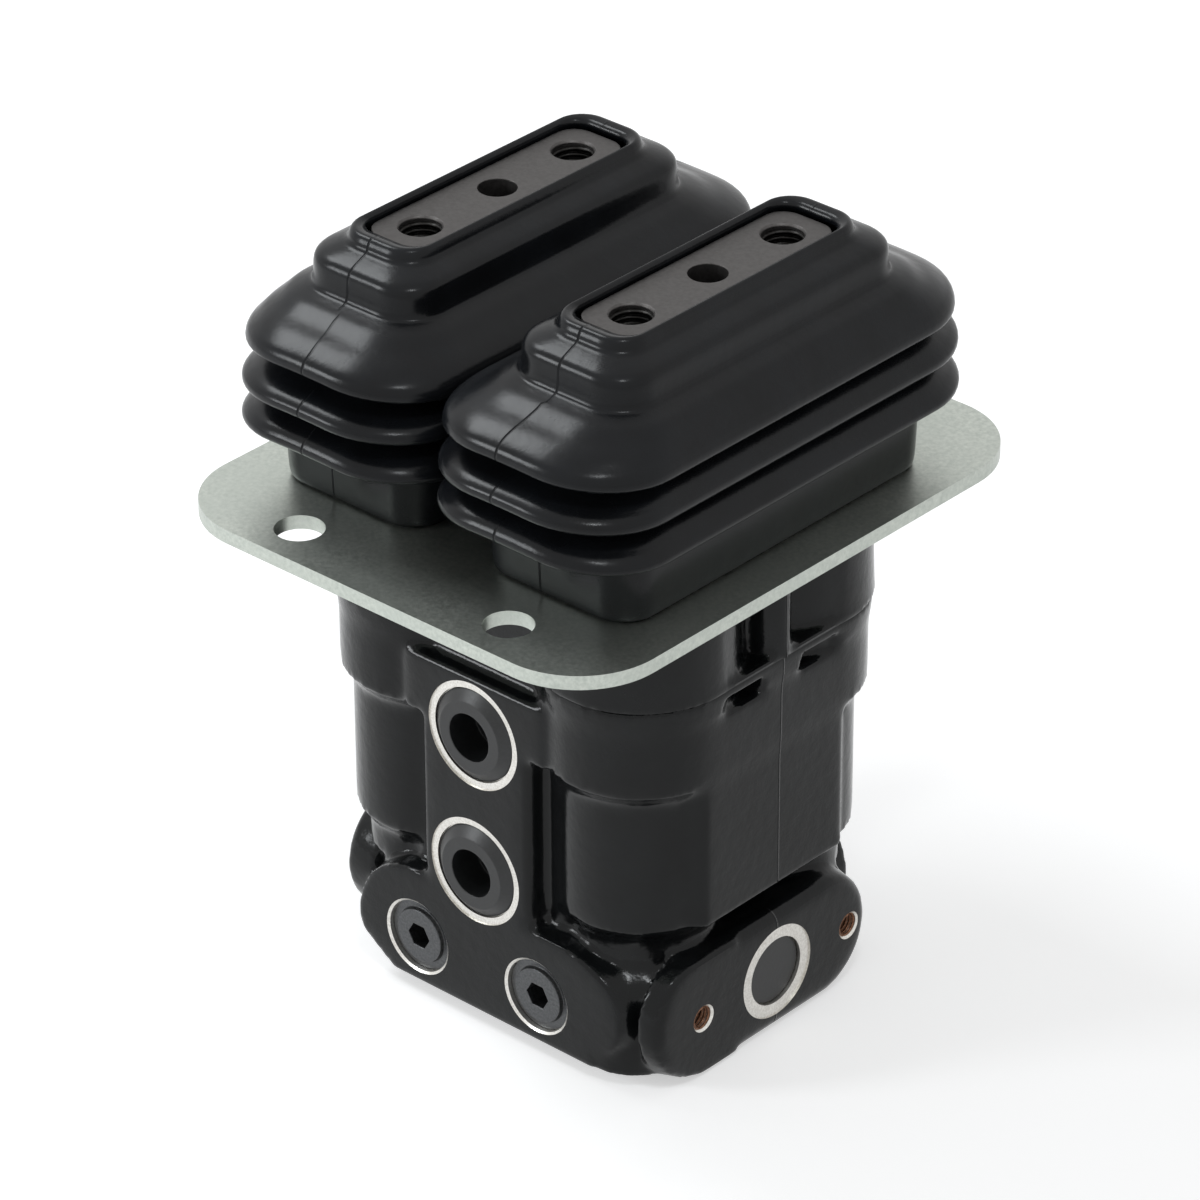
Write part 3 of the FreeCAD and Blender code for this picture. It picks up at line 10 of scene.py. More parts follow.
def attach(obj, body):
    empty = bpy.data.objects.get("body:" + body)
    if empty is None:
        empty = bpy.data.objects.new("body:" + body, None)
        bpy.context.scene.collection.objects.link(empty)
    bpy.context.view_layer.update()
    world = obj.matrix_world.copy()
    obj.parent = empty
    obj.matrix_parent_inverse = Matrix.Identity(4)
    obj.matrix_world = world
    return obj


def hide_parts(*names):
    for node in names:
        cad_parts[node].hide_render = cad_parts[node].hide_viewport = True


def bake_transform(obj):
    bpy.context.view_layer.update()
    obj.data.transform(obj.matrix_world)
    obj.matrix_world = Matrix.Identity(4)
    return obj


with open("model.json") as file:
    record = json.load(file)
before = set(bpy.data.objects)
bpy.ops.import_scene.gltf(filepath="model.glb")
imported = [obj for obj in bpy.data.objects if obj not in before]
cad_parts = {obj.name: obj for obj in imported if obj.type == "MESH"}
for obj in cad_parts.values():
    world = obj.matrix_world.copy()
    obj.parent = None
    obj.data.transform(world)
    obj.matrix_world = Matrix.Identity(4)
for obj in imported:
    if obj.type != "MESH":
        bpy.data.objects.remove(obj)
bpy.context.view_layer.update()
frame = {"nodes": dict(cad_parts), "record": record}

MM = 0.001

# Camera: the photograph's viewpoint
CAMERA_PLACE = Vector((0.85028, -0.94329, 0.71543))
CAMERA_RIGHT = Vector((0.74398, 0.66819, -0.00399))
CAMERA_DOWN = Vector((0.33654, -0.37987, -0.86165))
CAMERA_AHEAD = Vector((-0.57726, 0.63971, -0.50749))
LENS_MM = 187.64
SENSOR_MM = 36

# Places shared by several pieces, in millimetres
PEDAL_X = 32.2
ROD_Y = 23
RODS = [(x, y) for x in (-PEDAL_X, PEDAL_X) for y in (-ROD_Y, ROD_Y)]
SEAM_Z = -26
FLOOR_Z = -129.9
PORT_FACE_Y = -45.5
PORT_HEIGHTS = (-49.1, -86.6)
PLUGS = [(x, -113.5) for x in (-19.2, 19.2)]
SIDE_FACE = 55.1
SIDE_PORT_Z = -113.2
SIDE_BOLT_Y = 26.45
CAM_TOP = 65.3
PEDAL_BOLT_Y = 25.9
CASING_SCREWS = [(-50.4, 0), (50.4, 0), (0, -29), (0, 29)]
BRACKET_SCREWS = [
    (side * PEDAL_X + across * 13, along * 36)
    for side in (-1, 1) for across in (-1, 1) for along in (-1, 1)
]


def linear(code):
    """The linear colour of an sRGB hex value."""
    parts = [int(code[i:i + 2], 16) / 255 for i in (1, 3, 5)]
    return [p / 12.92 if p <= 0.04045 else ((p + 0.055) / 1.055) ** 2.4 for p in parts] + [1]


def add(tree, kind, links=None, **settings):
    """A node of that kind with its settings; links gives its inputs a value or another node's socket."""
    node = tree.nodes.new(kind)
    for name, setting in settings.items():
        setattr(node, name, setting)
    for name, source in (links or {}).items():
        if isinstance(source, bpy.types.NodeSocket):
            tree.links.new(source, node.inputs[name])
        else:
            node.inputs[name].default_value = source
    return node


# Finishes


def new_material(name, values):
    """An empty material with its tree and its shader; values are the same all over the surface."""
    material = bpy.data.materials.new(name)
    material.use_nodes = True
    tree = material.node_tree
    tree.nodes.clear()
    shader = add(tree, "ShaderNodeBsdfPrincipled", values)
    add(tree, "ShaderNodeOutputMaterial", {"Surface": shader.outputs[0]})
    return material, tree, shader


def finish(name, patterns, colour, polish, relief, values, edge_mm=0):
    """A material whose colour, polish and relief follow noise patterns on Object coordinates.

    patterns gives each its patch size in mm, detail and roughness; a grain, skin or patch too fine to
    show in the render is drawn 0.5 to 0.9 mm coarse. colour names a pattern, a darker and a paler sRGB
    value and where on the pattern they lie; polish names a pattern and the roughness from and to;
    relief names patterns and their depth in mm. Edges look rounded by edge_mm.
    """
    material, tree, shader = new_material(name, values)
    place = add(tree, "ShaderNodeTexCoord").outputs["Object"]
    noise = {}
    for pattern, (size_mm, detail, rough) in patterns.items():
        noise[pattern] = add(tree, "ShaderNodeTexNoise", {
            "Vector": place, "Scale": 1 / (size_mm * MM), "Detail": detail, "Roughness": rough,
        }).outputs["Fac"]
    pattern, darker, paler, start, end = colour
    ramp = add(tree, "ShaderNodeValToRGB", {"Fac": noise[pattern]})
    for stop, position, code in zip(ramp.color_ramp.elements, (start, end), (darker, paler)):
        stop.position = position
        stop.color = linear(code)
    tree.links.new(ramp.outputs["Color"], shader.inputs["Base Color"])
    pattern, low, high = polish
    rough = add(tree, "ShaderNodeMapRange", {"Value": noise[pattern], "To Min": low, "To Max": high})
    tree.links.new(rough.outputs["Result"], shader.inputs["Roughness"])
    normal = {}
    if edge_mm:
        edge = add(tree, "ShaderNodeBevel", {"Radius": edge_mm * MM}, samples=4)
        normal["Normal"] = edge.outputs[0]
    for pattern, depth_mm in relief:
        raised = {"Height": noise[pattern], "Distance": depth_mm * MM, "Strength": 1, **normal}
        normal["Normal"] = add(tree, "ShaderNodeBump", raised).outputs["Normal"]
    if normal:
        tree.links.new(normal["Normal"], shader.inputs["Normal"])
    return material, tree, shader, noise


def painted_casting():
    """Gloss black enamel sprayed on sand-cast iron: a soft orange peel, the mould's joint as a ridge."""
    material, tree, shader = finish(
        "black_enamel_on_cast_iron",
        {"peel": (3.2, 2, 0.5), "grain": (0.7, 3, 0.6), "dust": (14, 4, 0.6)},
        ("dust", "#0c0d0e", "#121415", 0.35, 0.65),
        ("grain", 0.1, 0.22),
        [("peel", 0.1), ("grain", 0.03)],
        {"IOR": 1.5, "Specular IOR Level": 0.22},
    )[:3]
    # The joint is a ridge 0.7 mm wide in the plane Y = 0, on what lies more than 50 mm out along X
    place = add(tree, "ShaderNodeTexCoord").outputs["Object"]
    axes = add(tree, "ShaderNodeSeparateXYZ", {"Vector": place}).outputs
    aside = add(tree, "ShaderNodeMath", {0: axes["Y"]}, operation="ABSOLUTE")
    ridge = add(tree, "ShaderNodeMapRange", {
        "Value": aside.outputs[0], "From Min": 0, "From Max": 0.35 * MM, "To Min": 1, "To Max": 0,
    })
    out = add(tree, "ShaderNodeMath", {0: axes["X"]}, operation="ABSOLUTE")
    outer = add(tree, "ShaderNodeMath", {0: out.outputs[0], 1: 50 * MM}, operation="GREATER_THAN")
    joint = add(tree, "ShaderNodeMath", {0: ridge.outputs[0], 1: outer.outputs[0]}, operation="MULTIPLY")
    relief = shader.inputs["Normal"].links[0].from_socket
    raised = {"Height": joint.outputs[0], "Distance": 0.15 * MM, "Strength": 1, "Normal": relief}
    tree.links.new(add(tree, "ShaderNodeBump", raised).outputs["Normal"], shader.inputs["Normal"])
    return material


def zinc_plate():
    """Zinc plating with clear passivate on cold-rolled sheet: pale grey-green, satin, finely mottled."""
    material, tree, shader, noise = finish(
        "clear_zinc_on_steel",
        {"mottle": (1.1, 4, 0.65), "cloud": (22, 3, 0.5)},
        ("mottle", "#a2a8a1", "#ced2ca", 0.3, 0.7),
        ("mottle", 0.32, 0.46),
        [("mottle", 0.02)],
        {"Metallic": 1},
    )
    # Clouds in which the mottle fades; a Mix node's sockets 6 and 7 and its output 2 are its colours
    mottled = shader.inputs["Base Color"].links[0].from_socket
    even = linear("#b3b9b2")
    clouded = add(tree, "ShaderNodeMix", {"Factor": noise["cloud"], 6: mottled, 7: even}, data_type="RGBA")
    tree.links.new(clouded.outputs[2], shader.inputs["Base Color"])
    return material


def machined_iron():
    """Spot faces and bores turned in cast iron: bright and satin, with a fine grain from the cutter."""
    return finish(
        "machined_cast_iron", {"grain": (0.5, 3, 0.6)}, ("grain", "#c9c6c0", "#e2e0db", 0.35, 0.65),
        ("grain", 0.3, 0.42), [("grain", 0.015)], {"Metallic": 1},
    )[0]


def steel(name, paler, darker, low, high, size_mm=0.6, depth_mm=0.012):
    """Bare, phosphated or blackened steel: a metal whose finish differs only in colour and polish."""
    return finish(
        name, {"patch": (size_mm, 3, 0.6)}, ("patch", darker, paler, 0.35, 0.65),
        ("patch", low, high), [("patch", depth_mm)], {"Metallic": 1}, 0.4,
    )[0]


def boot_rubber():
    """Nitrile rubber moulded in a polished tool: satin black, with a faint bloom of wax in patches."""
    return finish(
        "moulded_nitrile_rubber",
        {"bloom": (18, 4, 0.6), "skin": (0.5, 2, 0.5)},
        ("bloom", "#0f1012", "#15171a", 0.35, 0.65),
        ("bloom", 0.16, 0.3),
        [("bloom", 0.25), ("skin", 0.015)],
        {"IOR": 1.5, "Specular IOR Level": 0.2},
    )[0]


def seal_rubber():
    """Black seal rubber, matte."""
    return finish(
        "matte_seal_rubber", {"skin": (0.6, 2, 0.55)}, ("skin", "#151516", "#1c1c1d", 0.35, 0.65),
        ("skin", 0.6, 0.75), [], {},
    )[0]


def cap_plastic():
    """Soft black polyethylene of a shipping cap: satin, with a fine moulded grain and rounded edges."""
    return finish(
        "moulded_black_polyethylene", {"skin": (0.8, 3, 0.55)}, ("skin", "#151617", "#1e1f20", 0.35, 0.65),
        ("skin", 0.34, 0.46), [("skin", 0.02)], {}, 0.5,
    )[0]


# One finish for each slot of the record. Ground steel is bright and nearly a mirror; phosphated steel is
# dark grey and satin, coarser on the forged cams; pickled steel is mid grey and satin; black oxide is
# nearly black with a dull gloss; bronze is warm and bright; oiled spring wire is grey and glossy.
FINISHES = {
    "painted_casting": painted_casting(),
    "zinc_plate": zinc_plate(),
    "ground_steel": steel("ground_steel", "#b9bbbd", "#a5a7aa", 0.2, 0.3),
    "cam_steel": steel("phosphated_forged_steel", "#5a5857", "#504e4d", 0.4, 0.52, 0.9, 0.02),
    "bracket_steel": steel("pickled_bracket_steel", "#8c8c8d", "#77787a", 0.4, 0.5),
    "black_screw": steel("black_oxide_screw", "#3b3c3f", "#2b2c2e", 0.32, 0.42),
    "plug_steel": steel("phosphated_plug_steel", "#5f6061", "#4b4c4e", 0.32, 0.42),
    "bronze_bush": steel("bearing_bronze", "#c9a26a", "#b48c54", 0.25, 0.35),
    "spring_steel": steel("oiled_spring_steel", "#7d8084", "#66686c", 0.28, 0.36),
    "boot_rubber": boot_rubber(),
    "seal_rubber": seal_rubber(),
    "cap_plastic": cap_plastic(),
}
MACHINED = machined_iron()
# Dark cut threads under oil in the cams, and reddish-brown paste on the threads beside the side ports
OILED_THREAD = steel("oiled_cut_thread", "#3a3938", "#2a2928", 0.3, 0.4)
THREAD_PASTE = steel("copper_coloured_thread_compound", "#8f6a55", "#5f4334", 0.4, 0.55)


# Solids


def new_piece(name, mesh, material=None):
    """An object at the origin from a bmesh, which is used up, with one finish or none."""
    data = bpy.data.meshes.new(name)
    mesh.to_mesh(data)
    mesh.free()
    piece = bpy.data.objects.new(name, data)
    bpy.context.scene.collection.objects.link(piece)
    if material:
        data.materials.append(material)
    return piece


def settle(piece):
    """Turns the piece's modifiers into plain mesh."""
    graph = bpy.context.evaluated_depsgraph_get()
    data = bpy.data.meshes.new_from_object(piece.evaluated_get(graph))
    piece.modifiers.clear()
    piece.data = data


TURNED_STEPS = 72        # facets round a turned solid


def turned(mesh, profile, centre, axis):
    """Adds a solid of revolution; the profile's points are radius and distance along the axis, in mm."""
    axis = Vector(axis)
    side = axis.orthogonal().normalized()
    other = axis.cross(side)
    rings = []
    for radius, distance in profile:
        middle = Vector(centre) + axis * distance
        if radius == 0:
            rings.append([mesh.verts.new(middle * MM)] * TURNED_STEPS)
            continue
        angles = [2 * math.pi * step / TURNED_STEPS for step in range(TURNED_STEPS)]
        ways = [side * math.cos(angle) + other * math.sin(angle) for angle in angles]
        rings.append([mesh.verts.new((middle + way * radius) * MM) for way in ways])
    faces = []
    for here, there in zip(rings, rings[1:]):
        for j in range(TURNED_STEPS):
            k = (j + 1) % TURNED_STEPS
            corners = dict.fromkeys((here[j], here[k], there[k], there[j]))
            faces.append(mesh.faces.new(list(corners)))
    bmesh.ops.recalc_face_normals(mesh, faces=faces)


def slab(mesh, outline, axis, low, high):
    """Adds a straight solid from low to high along an axis, its outline in the other two axes, in mm."""
    ends = []
    for level in (low, high):
        spots = []
        for pair in outline:
            spot = list(pair)
            spot.insert("xyz".index(axis), level)
            spots.append(mesh.verts.new(Vector(spot) * MM))
        ends.append(spots)
    count = len(outline)
    faces = [mesh.faces.new(ends[0]), mesh.faces.new(ends[1])]
    for j in range(count):
        k = (j + 1) % count
        faces.append(mesh.faces.new((ends[0][j], ends[0][k], ends[1][k], ends[1][j])))
    bmesh.ops.recalc_face_normals(mesh, faces=faces)


def arc(centre, radius, start, stop, steps=16):
    """Points of an arc in degrees."""
    turns = np.radians(np.linspace(start, stop, steps + 1))
    across, along = centre
    return [(across + radius * math.cos(turn), along + radius * math.sin(turn)) for turn in turns]


def stepped(steps):
    """Profile of a stepped hole, from 1 mm outside its mouth inwards: radius and depth of each step."""
    profile = [(0, -1), (steps[0][0], -1)]
    for number, (radius, depth) in enumerate(steps):
        profile.append((radius, depth))
        if number + 1 < len(steps):
            profile.append((steps[number + 1][0], depth))
    return profile + [(0, steps[-1][1])]


def take_out(piece, tool):
    """Takes a tool's solids out of a piece and removes the tool."""
    step = piece.modifiers.new("cut", "BOOLEAN")
    step.operation = "DIFFERENCE"
    step.solver = "MANIFOLD"
    step.object = tool
    settle(piece)
    bpy.data.objects.remove(tool)


def cut(piece, holes):
    """Takes turned solids out of a piece, each a profile, a centre and an axis."""
    mesh = bmesh.new()
    for profile, centre, axis in holes:
        turned(mesh, profile, centre, axis)
    take_out(piece, new_piece("cutter", mesh))


def soften(piece, rounds, weight, flat_mm=None):
    """Draws each point towards the middle of its neighbours, as much as weight says for its place.

    With flat_mm, only points near that middle move, so flat faces are ironed and edges stay.
    """
    data = piece.data
    count = len(data.vertices)
    spots = np.empty(count * 3)
    data.vertices.foreach_get("co", spots)
    spots = spots.reshape(-1, 3)
    edges = np.empty(len(data.edges) * 2, int)
    data.edges.foreach_get("vertices", edges)
    one, two = edges.reshape(-1, 2).T
    share = np.bincount(one, minlength=count) + np.bincount(two, minlength=count)
    pull = 0.5 * weight(spots / MM)
    for number in range(rounds):
        total = np.empty_like(spots)
        for axis in range(3):
            total[:, axis] = np.bincount(one, spots[two, axis], count)
            total[:, axis] += np.bincount(two, spots[one, axis], count)
        step = total / share[:, None] - spots
        if flat_mm and number == 0:
            pull = pull * np.clip(2 - np.linalg.norm(step, axis=1) / (flat_mm * MM), 0, 1)
        spots = spots + step * pull[:, None]
    data.vertices.foreach_set("co", spots.ravel())
    data.update()


def node_mesh(node):
    """A merged copy of a node's mesh."""
    mesh = bmesh.new()
    mesh.from_mesh(frame["nodes"][node].data)
    mesh.transform(frame["nodes"][node].matrix_world)
    bmesh.ops.remove_doubles(mesh, verts=mesh.verts, dist=1e-6)
    return mesh


def remesh(piece, voxel_mm):
    """Replaces a piece's overlapping solids by one closed skin."""
    step = piece.modifiers.new("remesh", "REMESH")
    step.mode = "VOXEL"
    step.voxel_size = voxel_mm * MM
    settle(piece)


def cast_skin(node, plugs, fills, hollows, proud, voxel_mm):
    """A casting with rounded edges, from a CAD node whose holes are plugged and whose walls are filled.

    What hollows hold is taken out of it, and what proud holds is then added.
    """
    mesh = node_mesh(node)
    for profile, centre, axis in plugs:
        turned(mesh, profile, centre, axis)
    for solid in fills:
        slab(mesh, *solid)
    piece = new_piece(f"{node}_casting", mesh)
    remesh(piece, voxel_mm)
    if hollows:
        mesh = bmesh.new()
        for solid in hollows:
            slab(mesh, *solid)
        tool = new_piece("hollows", mesh)
        remesh(tool, HOLLOW_VOXEL)
        take_out(piece, tool)
        mesh = bmesh.new()
        mesh.from_mesh(piece.data)
        for solid in proud:
            slab(mesh, *solid)
        mesh.to_mesh(piece.data)
        mesh.free()
        remesh(piece, voxel_mm)
    soften(piece, ROUNDING_TURNS, off_seam)
    soften(piece, IRONING_TURNS, off_seam, FLAT_MM)
    return piece


def machine(piece, places):
    """Gives the machined finish to the faces cut round each axis: centre, axis, radius and depth.

    Near the mouth, faces that look straight out belong to the cast face and keep their paint.
    """
    data = piece.data
    count = len(data.polygons)
    middles, normals = np.empty(count * 3), np.empty(count * 3)
    data.polygons.foreach_get("center", middles)
    data.polygons.foreach_get("normal", normals)
    middles, normals = middles.reshape(-1, 3) / MM, normals.reshape(-1, 3)
    bare = np.zeros(count, int)
    for centre, axis, radius, stop in places:
        offset = middles - np.array(centre)
        depth = offset @ np.array(axis)
        reach = np.linalg.norm(offset - depth[:, None] * np.array(axis), axis=1)
        cut_face = (depth > CAST_FACE_DEPTH) | (normals @ np.array(axis) > -0.9)
        within = (reach < radius) & (depth > -0.4) & (depth < stop)
        bare[within & cut_face] = 1
    data.materials.clear()
    data.materials.append(FINISHES["painted_casting"])
    data.materials.append(MACHINED)
    data.polygons.foreach_set("material_index", bare)
    data.shade_smooth()
    data.set_sharp_from_angle(angle=math.radians(35))


# Castings

DOWN, UP, BACK = (0, 0, -1), (0, 0, 1), (0, 1, 0)
# Steps of the holes, from the mouth in: radius and depth
BORE = ((13.5, 20), (9.2, 46), (4, 88.6))
OUTLET = ((11.5, 0.4), (7.6, 12))
MAIN_PORT = ((14, 0.4), (12.2, 1.6), (9.3, 15))
SIDE_PORT = ((12.15, 0.4), (8.9, 2.6), (7.6, 12))
CASING_BORE = ((13.5, 28),)
CASING_SCREW_HOLE = ((4.35, 5.05), (2.8, 28))
CASING_SCREW_THREAD = ((2.55, 13.9),)
BRACKET_THREAD = ((3.05, 12.3),)
# Whole profiles of the holes with a bevelled mouth: radius and depth
PLUG_SEAT = [(0, -1), (11.4, -1), (9.75, 0.25), (9.45, 0.5), (9.45, 2), (8.05, 2), (8.05, 12), (0, 12)]
SIDE_THREAD = [(0, -1), (4.6, -1), (3.6, 0), (3.05, 0.55), (3.05, 12), (0, 12)]
BASE_Z = -126.3

BODY_VOXEL = 0.9         # size of the remesh steps, in millimetres
CASING_VOXEL = 0.85
HOLLOW_VOXEL = 0.5
ROUNDING_TURNS = 3       # rounds of softening for every edge, then for the flat faces alone
IRONING_TURNS = 18
FLAT_MM = 0.03           # how far a point of a flat face may lie off its neighbours' middle
CAST_FACE_DEPTH = 0.33   # the cast face round a hole lies less deep than this
LOBE_REACH = 23.9        # lobes of both castings round the rods
CORNER_AXIS = (36.5, 29.5)    # axis of the base's large upright corners
# How far that corner's wall stands from its axis, between two heights
CORNER_WALL = ((-91, -104, 14.4), (-104, -112, 14.6), (-112, -119, 15.0), (-119, -127, 15.5))
# Round ends, right of the front flange (in X and Z) and in front of the right side boss (in Y and Z):
# centre and radius of the upper and of the lower arc, then how far the face's rounded edge is drawn in
# and set back
FLANGE_END = ((33.7, -111), 13.1, (33.7, -111), 13.1, 2.6, 4.5)
BOSS_END = ((-30.6, -109.6), 12.9, (-25.1, -111.5), 18.4, 3.9, 4.6)


def off_seam(spots):
    """Full softening but near the seam between the castings, where both are faced."""
    return np.clip((abs(spots[:, 2] - SEAM_Z) - 0.8) / 1.5, 0, 1)


def turned_back(outline, turn):
    """An outline in X and Y as it is for turn -1, and half round the middle for turn 1."""
    return [(x * -turn, y * -turn) for x, y in outline]


def corner_cuts():
    """What stands outside the base's large corners, front right and back left."""
    cuts = []
    x, y = CORNER_AXIS[0], -CORNER_AXIS[1]
    for top, foot, reach in CORNER_WALL:
        outline = arc((x, y), reach, 0, -90, 20) + [(x, -56), (63, -56), (63, y)]
        cuts += [(turned_back(outline, turn), "z", foot, top) for turn in (-1, 1)]
    return cuts


def rounded_end(end, outwards, foot):
    """Outlines of an end from its foot out to its rounded edge, each with how far it is set back.

    The end points outwards, 1 or -1, along the outlines' first axis.
    """
    upper, upper_radius, lower, lower_radius, drawn_in, set_back = end
    tip, under = 90 - 90 * outwards, 90 - 180 * outwards
    outlines = []
    for degrees in range(0, 91, 15):
        inset = drawn_in * (1 - math.cos(math.radians(degrees)))
        back = set_back * (1 - math.sin(math.radians(degrees)))
        # An outline is drawn in mostly at its tip and less along its top and underside
        shift, less = -0.7 * inset * outwards, 0.25 * inset
        top = arc((upper[0] + shift, upper[1]), upper_radius - less, 90, tip)
        low = arc((lower[0] + shift, lower[1]), lower_radius - less, tip, under)
        outlines.append(([(foot, top[0][1])] + top + low[1:] + [(foot, low[-1][1])], back))
    return outlines


def proud_ends():
    """Round ends of the flanges and side bosses that stand out from the corners between them."""
    ends = []
    for turn in (-1, 1):
        for outline, back in rounded_end(FLANGE_END, 1, 20):
            face = (PORT_FACE_Y + back) * -turn
            ends.append(([(x * -turn, z) for x, z in outline], "y", 34 * turn, face))
        for outline, back in rounded_end(BOSS_END, -1, -14):
            face = (SIDE_FACE - back) * -turn
            ends.append(([(y * -turn, z) for y, z in outline], "x", -48.8 * turn, face))
    return ends


def body_fills():
    """Walls behind the pads, floors of the slots and flanks of the screw bosses, deeper in the node."""
    fills = []
    for end in (-1, 1):
        # Behind the port pads the wall stands only 4.5 mm back
        wall = [(-19.5, 36 * end), (-19.5, 41 * end), (19.5, 41 * end), (19.5, 36 * end)]
        fills.append((wall, "z", -34.2, SEAM_Z))
        for side in (-1, 1):
            # The slot beside the port pad is only 6 mm deep at its rounded floor
            floor = [(17, 30), (17, 38.5), (19, 39.6), (21.5, 39.9), (25, 39), (27, 30)]
            fills.append(([(x * side, y * end) for x, y in floor], "z", -97, -40.5))
            flank = [(44, 6), (55.3, 6), (55.3, 22), (44, 22)]
            fills.append(([(x * side, y * end) for x, y in flank], "z", -34.6, -27))
    return fills


def flange_pockets():
    """Pockets under the top flange, between the screw boss and a lobe."""
    lobe = arc((PEDAL_X, ROD_Y), LOBE_REACH - 1.6, -8, -44, 8)
    pocket = lobe + [(47.6, 8.0), (54.2, 6.8), (60, 6.4), (60, 19.9)]
    return [
        ([(x * side, y * end) for x, y in pocket], "z", -33.2, -28.2)
        for end in (-1, 1) for side in (-1, 1)
    ]


def plugs_for(holes, gap, end=math.inf):
    """Profiles that plug holes, a little wider than they are and no deeper than end."""
    plugs = []
    for profile, centre, axis in holes:
        points = [(radius + gap if radius else 0, min(max(depth, 0), end)) for radius, depth in profile]
        plugs.append((points, centre, axis))
    return plugs


def widest(profile):
    """Radius of a hole at its widest below the mouth."""
    return max(radius for radius, depth in profile if depth > 0)


def valve_body():
    """The lower casting, with its bores, ports, plug seats and tapped holes cut sharp in the cast skin."""
    bores = [(stepped(BORE), (x, y, SEAM_Z), DOWN) for x, y in RODS]
    screws = [(stepped(CASING_SCREW_THREAD), (x, y, SEAM_Z), DOWN) for x, y in CASING_SCREWS]
    ports = [(stepped(MAIN_PORT), (0, PORT_FACE_Y, z), BACK) for z in PORT_HEIGHTS]
    seats = [(PLUG_SEAT, (x, PORT_FACE_Y, z), BACK) for x, z in PLUGS]
    sides, bolts = [], []
    for side in (-1, 1):
        inwards = (-side, 0, 0)
        sides.append((stepped(SIDE_PORT), (side * SIDE_FACE, 0, SIDE_PORT_Z), inwards))
        for y in (-SIDE_BOLT_Y, SIDE_BOLT_Y):
            bolts.append((SIDE_THREAD, (side * SIDE_FACE, y, SIDE_PORT_Z), inwards))
    outlets = [(stepped(OUTLET), (x, y, BASE_Z), UP) for x, y in RODS]
    holes = bores + screws + ports + seats + sides + bolts
    plugs = plugs_for(holes + outlets, 0.2)
    hollows = flange_pockets() + corner_cuts()
    piece = cast_skin("valve_body", plugs, body_fills(), hollows, proud_ends(), BODY_VOXEL)
    cut(piece, holes)
    cut(piece, outlets)
    places = []
    for group, margin in ((ports + sides + outlets, 0.1), (bolts + seats, 0.45)):
        for profile, centre, axis in group:
            places.append((centre, axis, widest(profile) + margin, profile[-1][1] + 0.1))
    machine(piece, places)
    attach(piece, "housing")
    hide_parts("valve_body")


def upper_casing():
    """The upper casting; its lobes run on as cylinders inside the recesses beside the screw bosses."""
    bores = [(stepped(CASING_BORE), (x, y, 0), DOWN) for x, y in RODS]
    screws = [(stepped(CASING_SCREW_HOLE), (x, y, 0), DOWN) for x, y in CASING_SCREWS]
    tapped = [(stepped(BRACKET_THREAD), (x, y, 0), DOWN) for x, y in BRACKET_SCREWS]
    holes = bores + screws + tapped
    plugs = plugs_for(holes, 0.2, -SEAM_Z)
    column = [(0, 0.3), (LOBE_REACH - 0.6, 0.3), (LOBE_REACH - 0.1, 24), (0, 24)]
    lobes = [(column, (x, y, 0), DOWN) for x, y in RODS]
    piece = cast_skin("upper_casing", plugs + lobes, [], [], [], CASING_VOXEL)
    cut(piece, holes)
    machine(piece, [])
    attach(piece, "housing")
    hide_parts("upper_casing")


# Threads


def thread_tree():
    """A node tree that winds a helical ridge in each of two holes, one either side of a place."""
    tree = bpy.data.node_groups.new("threads", "GeometryNodeTree")
    sockets = {}
    for name, kind in (
        ("Radius", "NodeSocketFloat"),
        ("Pitch", "NodeSocketFloat"),
        ("Turns", "NodeSocketFloat"),
        ("Ridge", "NodeSocketFloat"),
        ("Spacing", "NodeSocketFloat"),
        ("Place", "NodeSocketVector"),
        ("Turn", "NodeSocketVector"),
        ("Finish", "NodeSocketMaterial"),
    ):
        sockets[name] = tree.interface.new_socket(name, in_out="INPUT", socket_type=kind).identifier
    tree.interface.new_socket("Geometry", in_out="OUTPUT", socket_type="NodeSocketGeometry")
    given = add(tree, "NodeGroupInput").outputs
    length = add(tree, "ShaderNodeMath", {0: given["Pitch"], 1: given["Turns"]}, operation="MULTIPLY")
    helix = add(tree, "GeometryNodeCurveSpiral", {
        "Resolution": 40,
        "Rotations": given["Turns"],
        "Start Radius": given["Radius"],
        "End Radius": given["Radius"],
        "Height": length.outputs[0],
    })
    section = add(tree, "GeometryNodeCurvePrimitiveCircle", {"Resolution": 3, "Radius": given["Ridge"]})
    ridge = add(tree, "GeometryNodeCurveToMesh", {
        "Curve": helix.outputs[0], "Profile Curve": section.outputs[0], "Fill Caps": True,
    })
    offset = add(tree, "ShaderNodeCombineXYZ", {"Y": given["Spacing"]})
    half = add(tree, "ShaderNodeVectorMath", {0: offset.outputs[0], "Scale": -0.5}, operation="SCALE")
    start = add(tree, "ShaderNodeVectorMath", {0: half.outputs[0], 1: given["Place"]}, operation="ADD")
    pair = add(tree, "GeometryNodeMeshLine", {
        "Count": 2, "Start Location": start.outputs[0], "Offset": offset.outputs[0],
    })
    holes = add(tree, "GeometryNodeInstanceOnPoints", {
        "Points": pair.outputs[0], "Instance": ridge.outputs[0], "Rotation": given["Turn"],
    })
    real = add(tree, "GeometryNodeRealizeInstances", {"Geometry": holes.outputs[0]})
    done = add(tree, "GeometryNodeSetMaterial", {"Geometry": real.outputs[0], "Material": given["Finish"]})
    add(tree, "NodeGroupOutput", {"Geometry": done.outputs[0]})
    return tree, sockets


THREADS, THREAD_SOCKETS = thread_tree()


